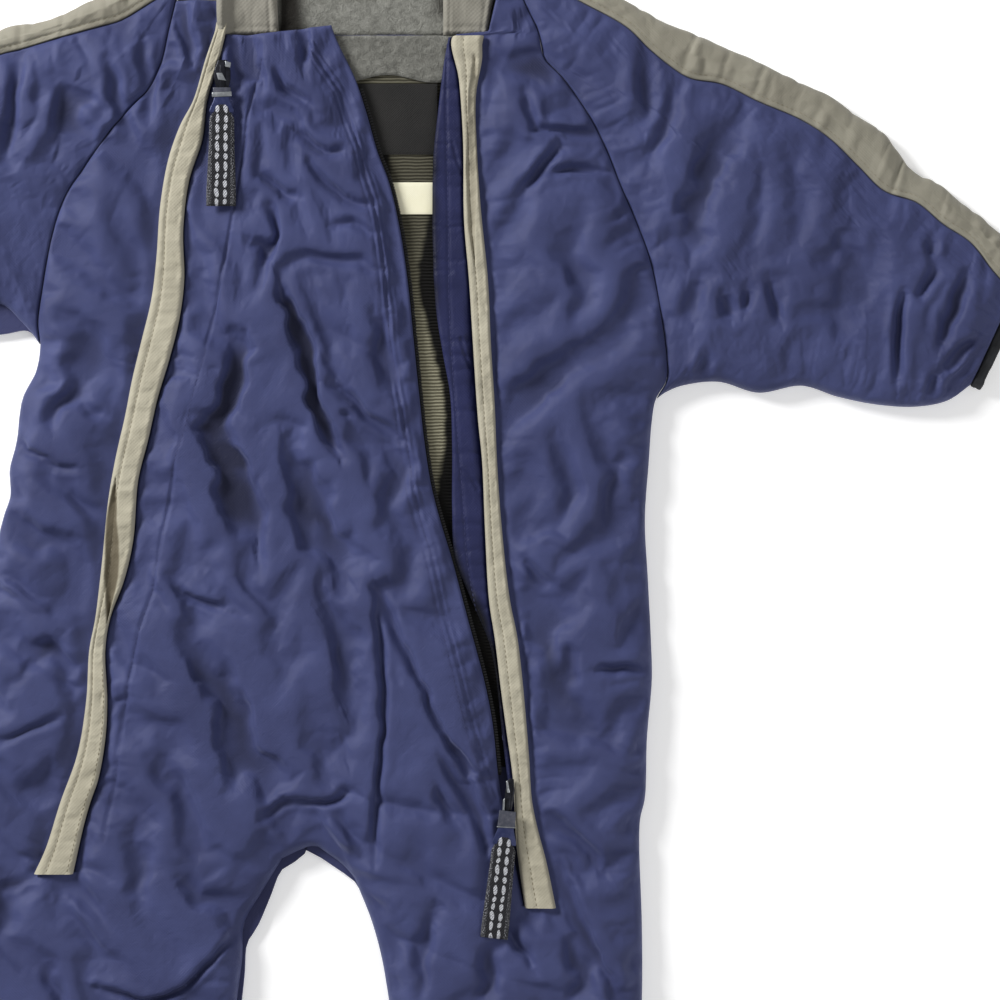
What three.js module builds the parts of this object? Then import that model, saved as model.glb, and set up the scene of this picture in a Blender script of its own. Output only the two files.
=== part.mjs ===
// A baby's padded snowsuit laid on its back, in millimetres: +Z up, +Y to the collar, underside at z = 0.
// The back lies on the surface and the fronts on the back. The left zip is closed and the right one is open.

import * as THREE from "three";

// Layer heights, from the surface up
const backTop = 4;
const seamGap = 0.3;
const liningThick = 1;
const labelThick = 0.8;
const tapeThick = 0.9;
const yokeThick = 1.8;
const liningBottom = backTop + seamGap;
const liningTop = liningBottom + liningThick;
const labelBottom = liningTop + seamGap;
const labelTop = labelBottom + labelThick;
const tapeBottom = labelTop + seamGap;
const frontFloor = tapeBottom + tapeThick + seamGap;

// Padded wall of the fronts
const wallThick = 4;
const edgeTop = 5.6;
const edgeBottom = backTop + seamGap;
const edgeRound = 13;
const seamTop = 11.9;
const puffHeight = 4.2;
const puffReach = 17;
const leastWall = 3.2;
const cuffTop = 9.6;
const cuffReach = 16;
const leastFold = 5;

// Trims
const flapThick = 2.6;
const facingDrop = 2.2;
const facingThick = 2.2;
const cuffDepth = 5.5;
const lowerRound = 1.4;
const collarThick = 5;
const collarFrontThick = 4.2;

// Length positions along the body
const leftZipEnd = -137;
const rightZipEnd = -154;
const neckLine = 283.2;
const hemLeft = -318;
const hemRight = -321;
const topEdge = 327.5;

const cloth = (colour, roughness) =>
  new THREE.MeshStandardMaterial({ color: colour, roughness, metalness: 0 });
const navy = cloth(0x3f4478, 0.55);
const navyBack = cloth(0x383d6c, 0.6);
const grey = cloth(0x97917f, 0.7);
const stripeGrey = cloth(0x8a8576, 0.7);
const fleece = cloth(0x82827a, 0.95);
const knit = cloth(0x8c866f, 0.95);
const black = cloth(0x1c1c20, 0.8);
const cream = cloth(0xefeac8, 0.8);
const hardNavy = new THREE.MeshStandardMaterial({ color: 0x303a66, roughness: 0.4, metalness: 0.3 });

// Outline and seam lines, a row for each point, from the neck down or from the neck out
const row = (x, y) => ({ x, y });
const sideLeftRows = [
  row(-91.5, 300), row(-95, 285), row(-99, 268), row(-105, 256), row(-112, 248.5), row(-119, 241),
  row(-129, 228.5), row(-139, 214), row(-146, 203.5), row(-150.5, 192.5), row(-154, 180), row(-158, 157.5),
  row(-160.5, 139), row(-160, 128.5), row(-162, 115), row(-169, 101), row(-172, 79), row(-175.5, 65),
  row(-175, 52.5), row(-179, 40), row(-187, 0), row(-193, -60), row(-197, -120), row(-200, -200),
  row(-194, -265), row(-184, hemLeft),
];
const sideRightRows = [
  row(78, 318), row(83, 300), row(90, 285), row(93.5, 271), row(101, 263), row(110, 251),
  row(117, 240), row(124.5, 225), row(131, 208.5), row(139, 190), row(146, 171), row(150.5, 150),
  row(154.5, 122.5), row(154.5, 110), row(149.5, 101), row(147.5, 90), row(146, 70), row(144, 40),
  row(145.5, 10), row(147, -20), row(147.5, -40), row(145, -70), row(144, -100), row(141.5, -111),
  row(142.5, -165), row(142.5, -200), row(139, -265), row(133.5, hemRight),
];
const armpitLeft = 128.5;
const armpitRight = 101;
const stripeLowerRightRows = [
  row(78, 318), row(93.5, 310), row(111, 300), row(134.5, 287), row(146, 276), row(157, 267),
  row(166, 261.5), row(182, 258.5), row(201, 249.5), row(221, 241), row(236, 231.5), row(251, 217),
  row(263.5, 205), row(280, 199), row(293.5, 188), row(307, 179), row(318, 165), row(328.3, 153.5),
];
const stripeUpperRightRows = [
  row(81, 327), row(108.5, 313.5), row(135, 300), row(151, 291.5), row(165, 285.5), row(177, 280.5),
  row(193.5, 273.5), row(203.5, 269), row(225, 258), row(237, 253), row(251, 242.5), row(261, 236.5),
  row(271, 225.5), row(279.5, 214), row(288.5, 210.5), row(303.5, 199), row(321, 185), row(335.5, 169),
];
const stripeLowerLeftRows = [
  row(-91.5, 307), row(-103, 300), row(-119, 290.5), row(-129, 287.5), row(-149, 282), row(-169, 276),
  row(-179, 273.5), row(-212, 261.5), row(-245, 243.5), row(-276.5, 226), row(-305, 212),
  row(-332.3, 201.5),
];
const stripeUpperLeftRows = [
  row(-93, 320), row(-115, 310), row(-136.5, 300), row(-149, 294), row(-159, 290), row(-169, 289),
  row(-179, 286.5), row(-209, 278.5), row(-252, 263), row(-288.5, 243), row(-319, 228), row(-336.5, 214),
];
const underarmRightRows = [
  row(150, 101.5), row(155, 104.5), row(162.5, 107.5), row(181, 109.5), row(201, 104), row(223, 107.5),
  row(241, 102), row(261, 98), row(281, 97), row(296, 100), row(307, 107.5),
];
const underarmLeftRows = [
  row(-160.4, 129), row(-166.5, 135), row(-179, 133.5), row(-209, 131), row(-244, 132.5),
  row(-279, 139), row(-304, 147.5), row(-316.5, 154.5),
];
const underarmLeftFrontRows = [
  row(-160.4, 129), row(-169, 139), row(-179, 148), row(-196, 149), row(-224, 144), row(-254, 141),
  row(-284, 146), row(-316.5, 154.5),
];
const innerLeftFrontRows = [
  row(-38.6, -130.4), row(-49, -147.5), row(-57.5, -162.5), row(-58.5, -180), row(-61, -200),
  row(-68, -260), row(-76.2, hemLeft),
];
const innerRightRows = [
  row(-2, -140.3), row(1, -147.5), row(6, -160), row(11, -177.5), row(15, -200), row(23.5, -260),
  row(33.5, hemRight),
];
const crotchRows = [
  row(-38.6, -130), row(-29, -125.5), row(-25, -124), row(-21, -124), row(-15.5, -127.5),
  row(-7.5, -133.5), row(-2, -139.9),
];
const backInnerLeftRows = [
  row(1, 284), row(-26.5, -127), row(-30.5, -131), row(-38.5, -136), row(-44.5, -150),
  row(-51, -165), row(-56, -173), row(-57.5, -190), row(-66, -260), row(-76.2, hemLeft),
];
const backInnerRightRows = [
  row(1, 284), row(-26.5, -127), row(-19, -130), row(-10.5, -136), row(-3, -141), row(1, -147.5),
  row(6, -160), row(11, -177.5), row(15, -200), row(23.5, -260), row(33.5, hemRight),
];

// Zip flaps, the open zip's facing and the centre panel's free edge, from the neck down
const leftFlapOuterRows = [
  row(-71, 300), row(-71, 287.5), row(-73, 280), row(-76.5, 270), row(-82.5, 250), row(-89, 237.5),
  row(-95, 220), row(-99, 197.5), row(-101, 170), row(-103.5, 150), row(-108.5, 129), row(-113, 110),
  row(-117, 90), row(-121.5, 70), row(-125, 50), row(-128, 20), row(-131.5, -9), row(-134.5, -25),
  row(-136, -50), row(-140.5, -77.5), row(-149, -101.5), row(-156.5, -125), row(-162, leftZipEnd),
];
const leftFlapInnerRows = [
  row(-66, 300), row(-66, 286), row(-69.5, 270), row(-75.5, 250), row(-78, 230), row(-84.5, 210),
  row(-87.5, 185), row(-87, 160), row(-89.5, 140), row(-94.5, 120), row(-100.5, 100), row(-105, 80),
  row(-110, 60), row(-112.5, 30), row(-117, 10), row(-124, -9), row(-126.5, -25), row(-125.5, -50),
  row(-126.5, -70), row(-130, -90), row(-134, -101.5), row(-137.5, -114), row(-142.5, leftZipEnd),
];
const rightFlapInnerRows = [
  row(65, 284.4), row(47.5, 282), row(50.5, 260), row(52.5, 230), row(53, 190), row(55.5, 160),
  row(57.5, 127.5), row(60, 90), row(62, 70), row(63.5, 35), row(65.5, 0), row(68.5, -20),
  row(71.5, -45), row(74.5, -67.5), row(77.5, -90), row(79.5, -125), row(83.5, rightZipEnd),
];
const rightFlapOuterRows = [
  row(68, 284.4), row(63, 282), row(62, 270), row(59, 252.5), row(59.5, 225), row(61.5, 195),
  row(65, 160), row(66.5, 127.5), row(68.5, 95), row(69.5, 70), row(72, 35), row(76, 0),
  row(79.5, -17.5), row(82, -37.5), row(85.5, -77.5), row(87, -100), row(90, -115), row(94, -130),
  row(99, rightZipEnd),
];
const facingRows = [
  row(45.2, 282), row(43, 270), row(40, 245), row(37.5, 220), row(37.5, 170), row(39, 145),
  row(42.5, 122.5), row(46, 102.5), row(47, 75), row(47, 45), row(48.5, 20), row(54.5, 5),
  row(61, -10), row(66, -22.5), row(69, -38), row(72, -67), row(75, -92),
];
const centreEdgeRows = [
  row(-12, neckLine), row(-9, 276.5), row(-1.5, 261), row(3.5, 246), row(9.5, 225), row(15.5, 209),
  row(21, 185), row(25, 157.5), row(27.5, 132.5), row(30.5, 102.5), row(33, 80), row(36.5, 57.5),
  row(41, 40), row(47, 20), row(55, -10), row(63, -40), row(67, -60), row(71, -95), row(77, -125),
  row(83, -153.9),
];

// The main folds of the fronts: a straight stretch, its half width and its height, below zero for a valley
const fold = (x0, y0, x1, y1, wide, high) => ({ x0, y0, x1, y1, wide, high });
const folds = [
  fold(-135, 107, -151, 85, 6, -2), fold(-136, 140, -127, 105, 8, -2), fold(-170, 78, -148, 70, 3, -1.5),
  fold(-179, 9, -156, -4, 4, 1.5), fold(-141, 257, -149, 232, 7, -2), fold(-151, 255, -164, 222, 4, 1.5),
  fold(-84, 300, -88, 270, 4, -2), fold(-41, 267, -25, 248, 4, -1.5), fold(-31, 234, -6, 224, 4, -1.8),
  fold(-24, 217, 6, 197, 4, -1.8), fold(-34, 169, 1, 168, 4, -2.2), fold(-7, 106, 21, 82, 4, -1.8),
  fold(-64, 135, -71, 90, 9, -2.5), fold(-101, 10, -89, -5, 4, 1.2), fold(-65, 10, -51, -6, 4, 1.2),
  fold(-81, -20, -61, -50, 9, -2.5), fold(-61, -50, -36, -96, 9, -3), fold(-48, -107, -24, -98, 4, -1.5),
  fold(-16, -110, -3, -124, 4, 1.5), fold(8, 5, 12, -70, 4, -1.3), fold(12, -70, 8, -130, 4, -1.5),
  fold(10, 7, 36, -50, 4, -1), fold(36, -50, 57, -93, 4, -1.5), fold(74, 268, 98, 258, 9, -2.5),
  fold(95, 235, 121, 233, 4, -1.6), fold(93, 212, 121, 215, 4, -1.5), fold(71, 91, 106, 122, 7, -2),
  fold(91, 5, 100, -40, 8, -2.5), fold(100, -40, 119, -68, 7, -2), fold(117, -34, 142, -37, 4, -1.5),
  fold(91, -107, 122, -135, 4, -1.8), fold(96, -127, 117, -172, 4, -2), fold(117, -172, 131, -200, 4, -2),
  fold(108, -165, 111, -235, 6, -2), fold(64, -170, 64, -215, 5, -1.6), fold(-129, -192, -87, -196, 5, -3),
  fold(-87, -196, -57, -163, 5, -3), fold(-111, -120, -111, -150, 6, -2),
  fold(-136, -137, -122, -150, 4, 1.4), fold(-144, -150, -124, -172, 4, 1.4),
  fold(142, 275, 143, 235, 4, -1.8), fold(157, 255, 146, 220, 4, -1.8),
  fold(188, 235, 169, 192, 7, -2.5), fold(169, 192, 166, 170, 6, -2), fold(207, 160, 211, 140, 4, -1.5),
  fold(244, 180, 240, 130, 11, -3), fold(273, 155, 270, 110, 4, -2.5), fold(305, 162, 292, 129, 4, -3),
  fold(310, 122, 297, 107, 4, -2), fold(287, 180, 278, 150, 4, -2), fold(-150, -215, -120, -235, 6, -2),
  fold(-100, -240, -80, -225, 5, -1.8), fold(-160, -280, -135, -300, 5, -2),
  fold(-110, -290, -90, -310, 5, -2),
  fold(60, -235, 85, -250, 6, -2), fold(105, -265, 130, -250, 5, -1.8), fold(55, -290, 70, -315, 5, -2),
  fold(-205, 250, -215, 215, 6, -2), fold(-235, 215, -240, 160, 9, -3), fold(-262, 225, -270, 190, 4, -2),
  fold(-285, 200, -292, 165, 4, -2.5), fold(-308, 205, -303, 175, 4, -2.5),
  fold(-190, 200, -196, 170, 4, -1.5),
];

// A smooth line through a table's points
const traceSteps = 400;
function trace(rows) {
  const points = rows.map((p) => new THREE.Vector3(p.x, p.y, 0));
  return new THREE.CatmullRomCurve3(points, false, "centripetal").getSpacedPoints(traceSteps);
}

// The x of a downward line at height y, held at its ends
function xAt(line, y) {
  if (y >= line[0].y) return line[0].x;
  for (let i = 1; i < line.length; i++) {
    const a = line[i - 1];
    const b = line[i];
    if (b.y <= y && a.y >= y && a.y > b.y) return a.x + ((b.x - a.x) * (a.y - y)) / (a.y - b.y);
  }
  return line[line.length - 1].x;
}

// The stretch of a downward line between two heights, as a new line
function stretch(line, yTop, yBottom) {
  const inside = line.filter((p) => p.y < yTop && p.y > yBottom);
  const first = row(xAt(line, yTop), yTop);
  const last = row(xAt(line, yBottom), yBottom);
  return [first, ...inside, last];
}

// The point a share of the way along a line, by length
function along(line, share) {
  const lengths = [0];
  for (let i = 1; i < line.length; i++) {
    lengths.push(lengths[i - 1] + Math.hypot(line[i].x - line[i - 1].x, line[i].y - line[i - 1].y));
  }
  const goal = share * lengths[lengths.length - 1];
  let i = 1;
  while (i < line.length - 1 && lengths[i] < goal) i++;
  const part = (goal - lengths[i - 1]) / Math.max(lengths[i] - lengths[i - 1], 1e-9);
  return row(
    line[i - 1].x + (line[i].x - line[i - 1].x) * part,
    line[i - 1].y + (line[i].y - line[i - 1].y) * part,
  );
}

const sideLeft = trace(sideLeftRows);
const sideRight = trace(sideRightRows);
const stripeLowerRight = trace(stripeLowerRightRows);
const stripeUpperRight = trace(stripeUpperRightRows);
const stripeLowerLeft = trace(stripeLowerLeftRows);
const stripeUpperLeft = trace(stripeUpperLeftRows);
const underarmRight = trace(underarmRightRows);
const underarmLeft = trace(underarmLeftRows);
const underarmLeftFront = trace(underarmLeftFrontRows);
const innerLeftFront = trace(innerLeftFrontRows);
const innerRight = trace(innerRightRows);
const crotch = trace(crotchRows);
const leftFlapOuter = trace(leftFlapOuterRows);
const leftFlapInner = trace(leftFlapInnerRows);
const rightFlapInner = trace(rightFlapInnerRows);
const rightFlapOuter = trace(rightFlapOuterRows);
const facingEdge = trace(facingRows);
const centreEdge = trace(centreEdgeRows);

const raglanLeft = stretch(sideLeft, 300, armpitLeft);
const raglanRight = stretch(sideRight, 318, armpitRight);
const cuffLineRight = [row(307, 107.5), row(335.5, 169)];
const cuffLineLeft = [row(-316.5, 154.5), row(-336.5, 214)];

const outlines = [
  stretch(sideLeft, armpitLeft, hemLeft),
  stretch(sideRight, armpitRight, hemRight),
  underarmRight,
  underarmLeftFront,
  innerLeftFront,
  innerRight,
  crotch,
  stripeUpperRight,
  stripeUpperLeft,
];
const innerSeams = [
  raglanLeft,
  raglanRight,
  stripeLowerRight,
  stripeLowerLeft,
  leftFlapOuter,
  leftFlapInner,
  rightFlapInner,
  rightFlapOuter,
  centreEdge,
];
const gatherLines = [
  cuffLineRight,
  cuffLineLeft,
  [row(-184, hemLeft), row(-76.2, hemLeft)],
  [row(33.5, hemRight), row(133.5, hemRight)],
];

function toSegment(x, y, a, b) {
  const dx = b.x - a.x;
  const dy = b.y - a.y;
  const share = ((x - a.x) * dx + (y - a.y) * dy) / Math.max(dx * dx + dy * dy, 1e-9);
  const held = Math.min(1, Math.max(0, share));
  return Math.hypot(x - a.x - dx * held, y - a.y - dy * held);
}

function toLines(x, y, lines) {
  let least = Infinity;
  for (const line of lines) {
    const stride = line.length > 50 ? 4 : 1;
    for (let i = stride; i < line.length; i += stride) {
      least = Math.min(least, toSegment(x, y, line[i - stride], line[i]));
    }
    least = Math.min(least, toSegment(x, y, line[line.length - 2], line[line.length - 1]));
  }
  return least;
}

const smooth = (share) => {
  const held = Math.min(1, Math.max(0, share));
  return held * held * (3 - 2 * held);
};

// Height of the fronts' upper face: padded between seams, creased by the folds, rounded down to the outline
function frontTop(x, y) {
  const outline = toLines(x, y, outlines);
  const seam = Math.min(outline, toLines(x, y, innerSeams));
  const gather = toLines(x, y, gatherLines);
  let inner = seamTop + puffHeight * (1 - Math.exp(-((seam / puffReach) ** 2)));
  for (const f of folds) {
    const away = toSegment(x, y, row(f.x0, f.y0), row(f.x1, f.y1));
    inner += f.high * Math.exp(-((away / Math.max(f.wide, leastFold)) ** 2));
  }
  inner = Math.max(inner, frontFloor + leastWall);
  inner = cuffTop + (inner - cuffTop) * smooth(gather / cuffReach);
  const rise = Math.min(1, outline / edgeRound);
  return edgeTop + (inner - edgeTop) * Math.sqrt(1 - (1 - rise) ** 2);
}

function frontBottom(x, y) {
  const outline = toLines(x, y, outlines);
  const gather = toLines(x, y, gatherLines);
  const floor = edgeBottom + (frontFloor - edgeBottom) * smooth(Math.min(outline - 1, gather) / edgeRound);
  return Math.max(frontTop(x, y) - wallThick, floor);
}

const span = (from, to, steps) =>
  Array.from({ length: steps + 1 }, (_, i) => from + ((to - from) * i) / steps);

// A closed wall over a grid of points, between an upper and a lower height
function wall(name, grid, top, bottom, material) {
  const high = grid.length;
  const wide = grid[0].length;
  const place = [];
  for (const heights of [top, bottom]) {
    for (let j = 0; j < high; j++) {
      for (let i = 0; i < wide; i++) {
        const p = grid[j][i];
        place.push(p.x, p.y, heights(p.x, p.y, i, j));
      }
    }
  }
  const at = (i, j, layer) => layer * high * wide + j * wide + i;
  const faces = [];
  const quad = (a, b, c, d) => faces.push(a, b, c, a, c, d);
  for (let j = 0; j < high - 1; j++) {
    for (let i = 0; i < wide - 1; i++) {
      quad(at(i, j, 0), at(i + 1, j, 0), at(i + 1, j + 1, 0), at(i, j + 1, 0));
      faces.push(at(i, j, 1), at(i + 1, j + 1, 1), at(i + 1, j, 1));
      faces.push(at(i, j, 1), at(i, j + 1, 1), at(i + 1, j + 1, 1));
    }
  }
  for (let i = 0; i < wide - 1; i++) {
    quad(at(i, 0, 1), at(i + 1, 0, 1), at(i + 1, 0, 0), at(i, 0, 0));
    quad(at(i + 1, high - 1, 1), at(i, high - 1, 1), at(i, high - 1, 0), at(i + 1, high - 1, 0));
  }
  for (let j = 0; j < high - 1; j++) {
    quad(at(wide - 1, j, 1), at(wide - 1, j + 1, 1), at(wide - 1, j + 1, 0), at(wide - 1, j, 0));
    quad(at(0, j + 1, 1), at(0, j, 1), at(0, j, 0), at(0, j + 1, 0));
  }
  let area = 0;
  for (let j = 0; j < high - 1; j++) {
    for (let i = 0; i < wide - 1; i++) {
      const a = grid[j][i];
      const b = grid[j][i + 1];
      const c = grid[j + 1][i];
      area += (b.x - a.x) * (c.y - a.y) - (b.y - a.y) * (c.x - a.x);
    }
  }
  if (area < 0) faces.reverse();
  return solid(name, place, faces, material);
}

function solid(name, place, faces, material) {
  const geometry = new THREE.BufferGeometry();
  geometry.setAttribute("position", new THREE.Float32BufferAttribute(place, 3));
  geometry.setIndex(faces);
  geometry.computeVertexNormals();
  const mesh = new THREE.Mesh(geometry, material);
  mesh.name = name;
  return mesh;
}

// Points of a panel whose rows are level and whose columns are downward lines
const levelGrid = (levels, columns) => levels.map((y) => columns(y).map((x) => row(x, y)));

// Points of a panel between four rows of points, which meet at its corners
function fourSided(bottom, top, left, right) {
  const across = sharesOf(top);
  const up = sharesOf(left);
  return up.map((v, j) =>
    across.map((u, i) => {
      const mix = (k) =>
        (1 - v) * bottom[i][k] + v * top[i][k] + (1 - u) * left[j][k] + u * right[j][k] -
        ((1 - u) * (1 - v) * bottom[0][k] + u * (1 - v) * bottom[bottom.length - 1][k] +
          (1 - u) * v * top[0][k] + u * v * top[top.length - 1][k]);
      return row(mix("x"), mix("y"));
    }),
  );
}

// Each point's share of its line's length
function sharesOf(line) {
  const lengths = [0];
  for (let i = 1; i < line.length; i++) {
    lengths.push(lengths[i - 1] + Math.hypot(line[i].x - line[i - 1].x, line[i].y - line[i - 1].y));
  }
  return lengths.map((far) => far / lengths[lengths.length - 1]);
}

const sample = (line, shares) => shares.map((share) => along(line, share));

// A line moved sideways, to its left when the distance is positive
function offset(line, distance) {
  return line.map((p, i) => {
    const a = line[Math.max(i - 1, 0)];
    const b = line[Math.min(i + 1, line.length - 1)];
    const long = Math.hypot(b.x - a.x, b.y - a.y);
    return row(p.x - ((b.y - a.y) / long) * distance, p.y + ((b.x - a.x) / long) * distance);
  });
}

const shift = (line, dx, dy) => line.map((p) => row(p.x + dx, p.y + dy));
const reversed = (line) => [...line].reverse();
const edgeShares = [0, 0.03, 0.08, 0.16, 0.3, 0.48, 0.66, 0.84, 1];
const between = (a, b, shares) => shares.map((s) => a + (b - a) * s);
const halfGap = seamGap / 2 + 0.05;

const group = new THREE.Group();
const add = (mesh) => group.add(mesh);

// A thick sheet from a closed outline, between two heights
function plate(name, outline, z0, z1, material) {
  const shape = new THREE.Shape(outline.map((p) => new THREE.Vector2(p.x, p.y)));
  const geometry = new THREE.ExtrudeGeometry(shape, { depth: z1 - z0, bevelEnabled: false });
  geometry.translate(0, 0, z0);
  const mesh = new THREE.Mesh(geometry, material);
  mesh.name = name;
  return mesh;
}

// Heights along the body at which the fronts and backs have points
const leftLevels = [...span(leftZipEnd, armpitLeft, 20), ...span(141, 300, 13)];
const rightLevels = [...span(rightZipEnd, armpitRight, 19), 110.5, ...span(122, 282, 12), 284.4, 300, 317.5];
const backTopLevel = neckLine + 0.8;
const legLevels = [-290, -265, -232, -200, -170];
const backLevels = (hem, levels) => [hem, ...legLevels, ...levels.filter((y) => y < 281), backTopLevel];
const backLeftLevels = backLevels(hemLeft, leftLevels);
const backRightLevels = backLevels(hemRight, rightLevels);
const sidePoints = (levels, line, gap) => levels.map((y) => row(xAt(line, y) + gap, y));

// Back, in two halves with a seam down the middle
const flatAt = (z) => () => z;
const backInnerLeft = shift(backInnerLeftRows, -halfGap, 0);
const backInnerRight = shift(backInnerRightRows, halfGap, 0);
add(plate(
  "back_left",
  [...sidePoints(backLeftLevels, sideLeft, halfGap).reverse(), ...reversed(backInnerLeft)],
  0,
  backTop,
  navyBack,
));
add(plate(
  "back_right",
  [...backInnerRight, ...sidePoints(backRightLevels, sideRight, -halfGap)],
  0,
  backTop,
  navyBack,
));

// Fronts and flaps: a flap is the panel's own points along its edge, moved out
const leftColumns = (y) => [
  ...between(xAt(sideLeft, y) + halfGap, xAt(leftFlapOuter, y), edgeShares),
  (xAt(leftFlapOuter, y) + xAt(leftFlapInner, y)) / 2,
  xAt(leftFlapInner, y) - halfGap,
];
const leftGrid = levelGrid(leftLevels, leftColumns);
add(wall("front_left", leftGrid, frontTop, frontBottom, navy));

const flapFirst = edgeShares.length - 1;
const flapTopFace = (x, y) => frontTop(x, y) + seamGap + flapThick;
const flapBottomFace = (x, y) => frontTop(x, y) + seamGap;
const leftFlapGrid = leftGrid.filter((points) => points[0].y <= 296).map((points) => points.slice(flapFirst));
add(wall("flap_left", leftFlapGrid, flapTopFace, flapBottomFace, grey));

const neckSpread = (y) => Math.max(0, y - 284.4) * 0.24;
const rightColumns = (y) => {
  const inner = xAt(rightFlapInner, y) + neckSpread(y);
  const outer = xAt(rightFlapOuter, y) + neckSpread(y) * 0.8;
  const side = xAt(sideRight, y) - halfGap;
  return [
    inner + halfGap,
    (inner + outer) / 2,
    ...between(side, outer, edgeShares).reverse(),
  ];
};
const rightGrid = levelGrid(rightLevels, rightColumns);
add(wall("front_right", rightGrid, frontTop, frontBottom, navy));
const rightFlapGrid = rightGrid.filter((points) => points[0].y <= 282).map((points) => points.slice(0, 3));
add(wall("flap_right", rightFlapGrid, flapTopFace, flapBottomFace, grey));

// The open zip's facing, beside the right flap, pieced from an upper and a lower length
const facingTop = (x, y) => Math.max(frontTop(x, y) - facingDrop, frontFloor + facingThick);
function facing(name, levels) {
  const grid = levelGrid(levels, (y) =>
    between(xAt(facingEdge, y), xAt(rightFlapInner, y) - halfGap, [0, 0.5, 1]));
  add(wall(name, grid, facingTop, (x, y) => facingTop(x, y) - facingThick, navy));
}
const facingJoin = 110.5;
const joined = facingJoin - seamGap;
facing("zip_facing_right", rightLevels.filter((y) => y >= facingJoin && y <= 282));
facing("zip_facing_lower", [...rightLevels.filter((y) => y > -92 && y < joined), joined]);

// Centre panel, from the closed zip to its free edge
const centreBottom = [
  row(xAt(leftFlapInner, leftZipEnd) + halfGap, leftZipEnd),
  row(-90, -133.8),
  ...crotch.map((p) => row(p.x, p.y)),
  row(40, -147),
  row(xAt(centreEdge, -153.9), -153.9),
];
const centreTopLine = [row(xAt(leftFlapInner, neckLine) + halfGap, neckLine), row(-12, neckLine)];
const centreLeftLine = shift(reversed(stretch(leftFlapInner, neckLine, leftZipEnd)), halfGap, 0);
const centreRightLine = reversed(stretch(centreEdge, neckLine, -153.9));
const centreShares = span(0, 1, 16);
const centreUp = span(0, 1, 32);
add(wall(
  "front_centre",
  fourSided(
    sample(centreBottom, centreShares),
    sample(centreTopLine, centreShares),
    sample(centreLeftLine, centreUp),
    sample(centreRightLine, centreUp),
  ),
  frontTop,
  frontBottom,
  navy,
));

// Zip tape under the centre panel's free edge
const tapeReach = 1.6;
const tapeHidden = 5;
add(wall(
  "zip_tape_centre",
  levelGrid(span(-88, 257, 22), (y) => [xAt(centreEdge, y) - tapeHidden, xAt(centreEdge, y) + tapeReach]),
  flatAt(tapeBottom + tapeThick),
  flatAt(tapeBottom),
  black,
));

// Legs' fronts, below the zips
const legUp = [0, 0.03, 0.08, 0.14, 0.21, 0.28, 0.35, 0.42, 0.49, 0.56, 0.63, 0.7, 0.77, 0.84, 0.9, 0.95, 1];
const legAcross = [0, 0.02, 0.06, 0.13, 0.25, 0.38, 0.5, 0.62, 0.75, 0.87, 0.94, 0.98, 1];
const leftLegTop = leftZipEnd - 2 * halfGap;
const leftLegSide = shift(reversed(stretch(sideLeft, leftLegTop, hemLeft)), halfGap, 0);
const leftLegInner = reversed(innerLeftFront);
const legTopLeft = [
  leftLegSide[leftLegSide.length - 1], row(-142.3, leftLegTop), row(-90, -134.3), row(-38.6, -130.4),
];
add(wall(
  "leg_left_front",
  fourSided(
    sample([leftLegSide[0], leftLegInner[0]], legAcross),
    sample(legTopLeft, legAcross),
    sample(leftLegSide, legUp),
    sample(leftLegInner, legUp),
  ),
  frontTop,
  frontBottom,
  navy,
));
const rightLegTop = rightZipEnd - 2 * halfGap;
const rightLegSide = shift(reversed(stretch(sideRight, rightLegTop, hemRight)), -halfGap, 0);
const rightLegInner = reversed(innerRight);
const legTopRight = [
  row(-2, -140.3), row(40, -147.4), row(83, rightLegTop), rightLegSide[rightLegSide.length - 1],
];
add(wall(
  "leg_right_front",
  fourSided(
    sample([rightLegInner[0], rightLegSide[0]], legAcross),
    sample(legTopRight, legAcross),
    sample(rightLegInner, legUp),
    sample(rightLegSide, legUp),
  ),
  frontTop,
  frontBottom,
  navy,
));

// Sleeves: a front, a back and a stripe folded over the top of the arm
const sleeveShares = span(0, 1, 18);
const middle = (a, b, share) =>
  a.map((p, i) => row(p.x + (b[i].x - p.x) * share, p.y + (b[i].y - p.y) * share));
const backEdgeShare = 0.45;

// The gap at a seam opens away from the arm's side, which sign gives: -1 to the left and 1 to the right
function sleeve(side, lowerLine, upperLine, under, underBack, frontSeam, backSeam, cuffLine, sign) {
  const lower = sample(lowerLine, sleeveShares);
  const upper = sample(upperLine, sleeveShares);
  const frontIn = offset(frontSeam, -sign * seamGap);
  const frontUp = sharesOf(frontIn);
  const lowerIn = offset(lower, -sign * seamGap);
  const cuffEnd = lowerIn[lowerIn.length - 1];
  lowerIn[0] = frontIn[frontIn.length - 1];
  add(wall(
    `sleeve_${side}_front`,
    fourSided(
      sample([frontIn[0], ...under.slice(8)], sleeveShares),
      lowerIn,
      frontIn,
      sample([cuffLine[0], cuffEnd], frontUp),
    ),
    frontTop,
    frontBottom,
    navy,
  ));
  const backIn = offset(backSeam, -sign * seamGap);
  const foldEdge = offset(middle(lower, upper, backEdgeShare), -sign * seamGap);
  const backUnder = sample([backIn[0], ...underBack.slice(8)], sleeveShares);
  add(plate(
    `sleeve_${side}_back`,
    [...backUnder, ...reversed(foldEdge), ...reversed(backIn).slice(0, -1)],
    0,
    backTop,
    navyBack,
  ));
  add(stripe(`sleeve_stripe_${side}`, lower, upper));
}

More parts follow.
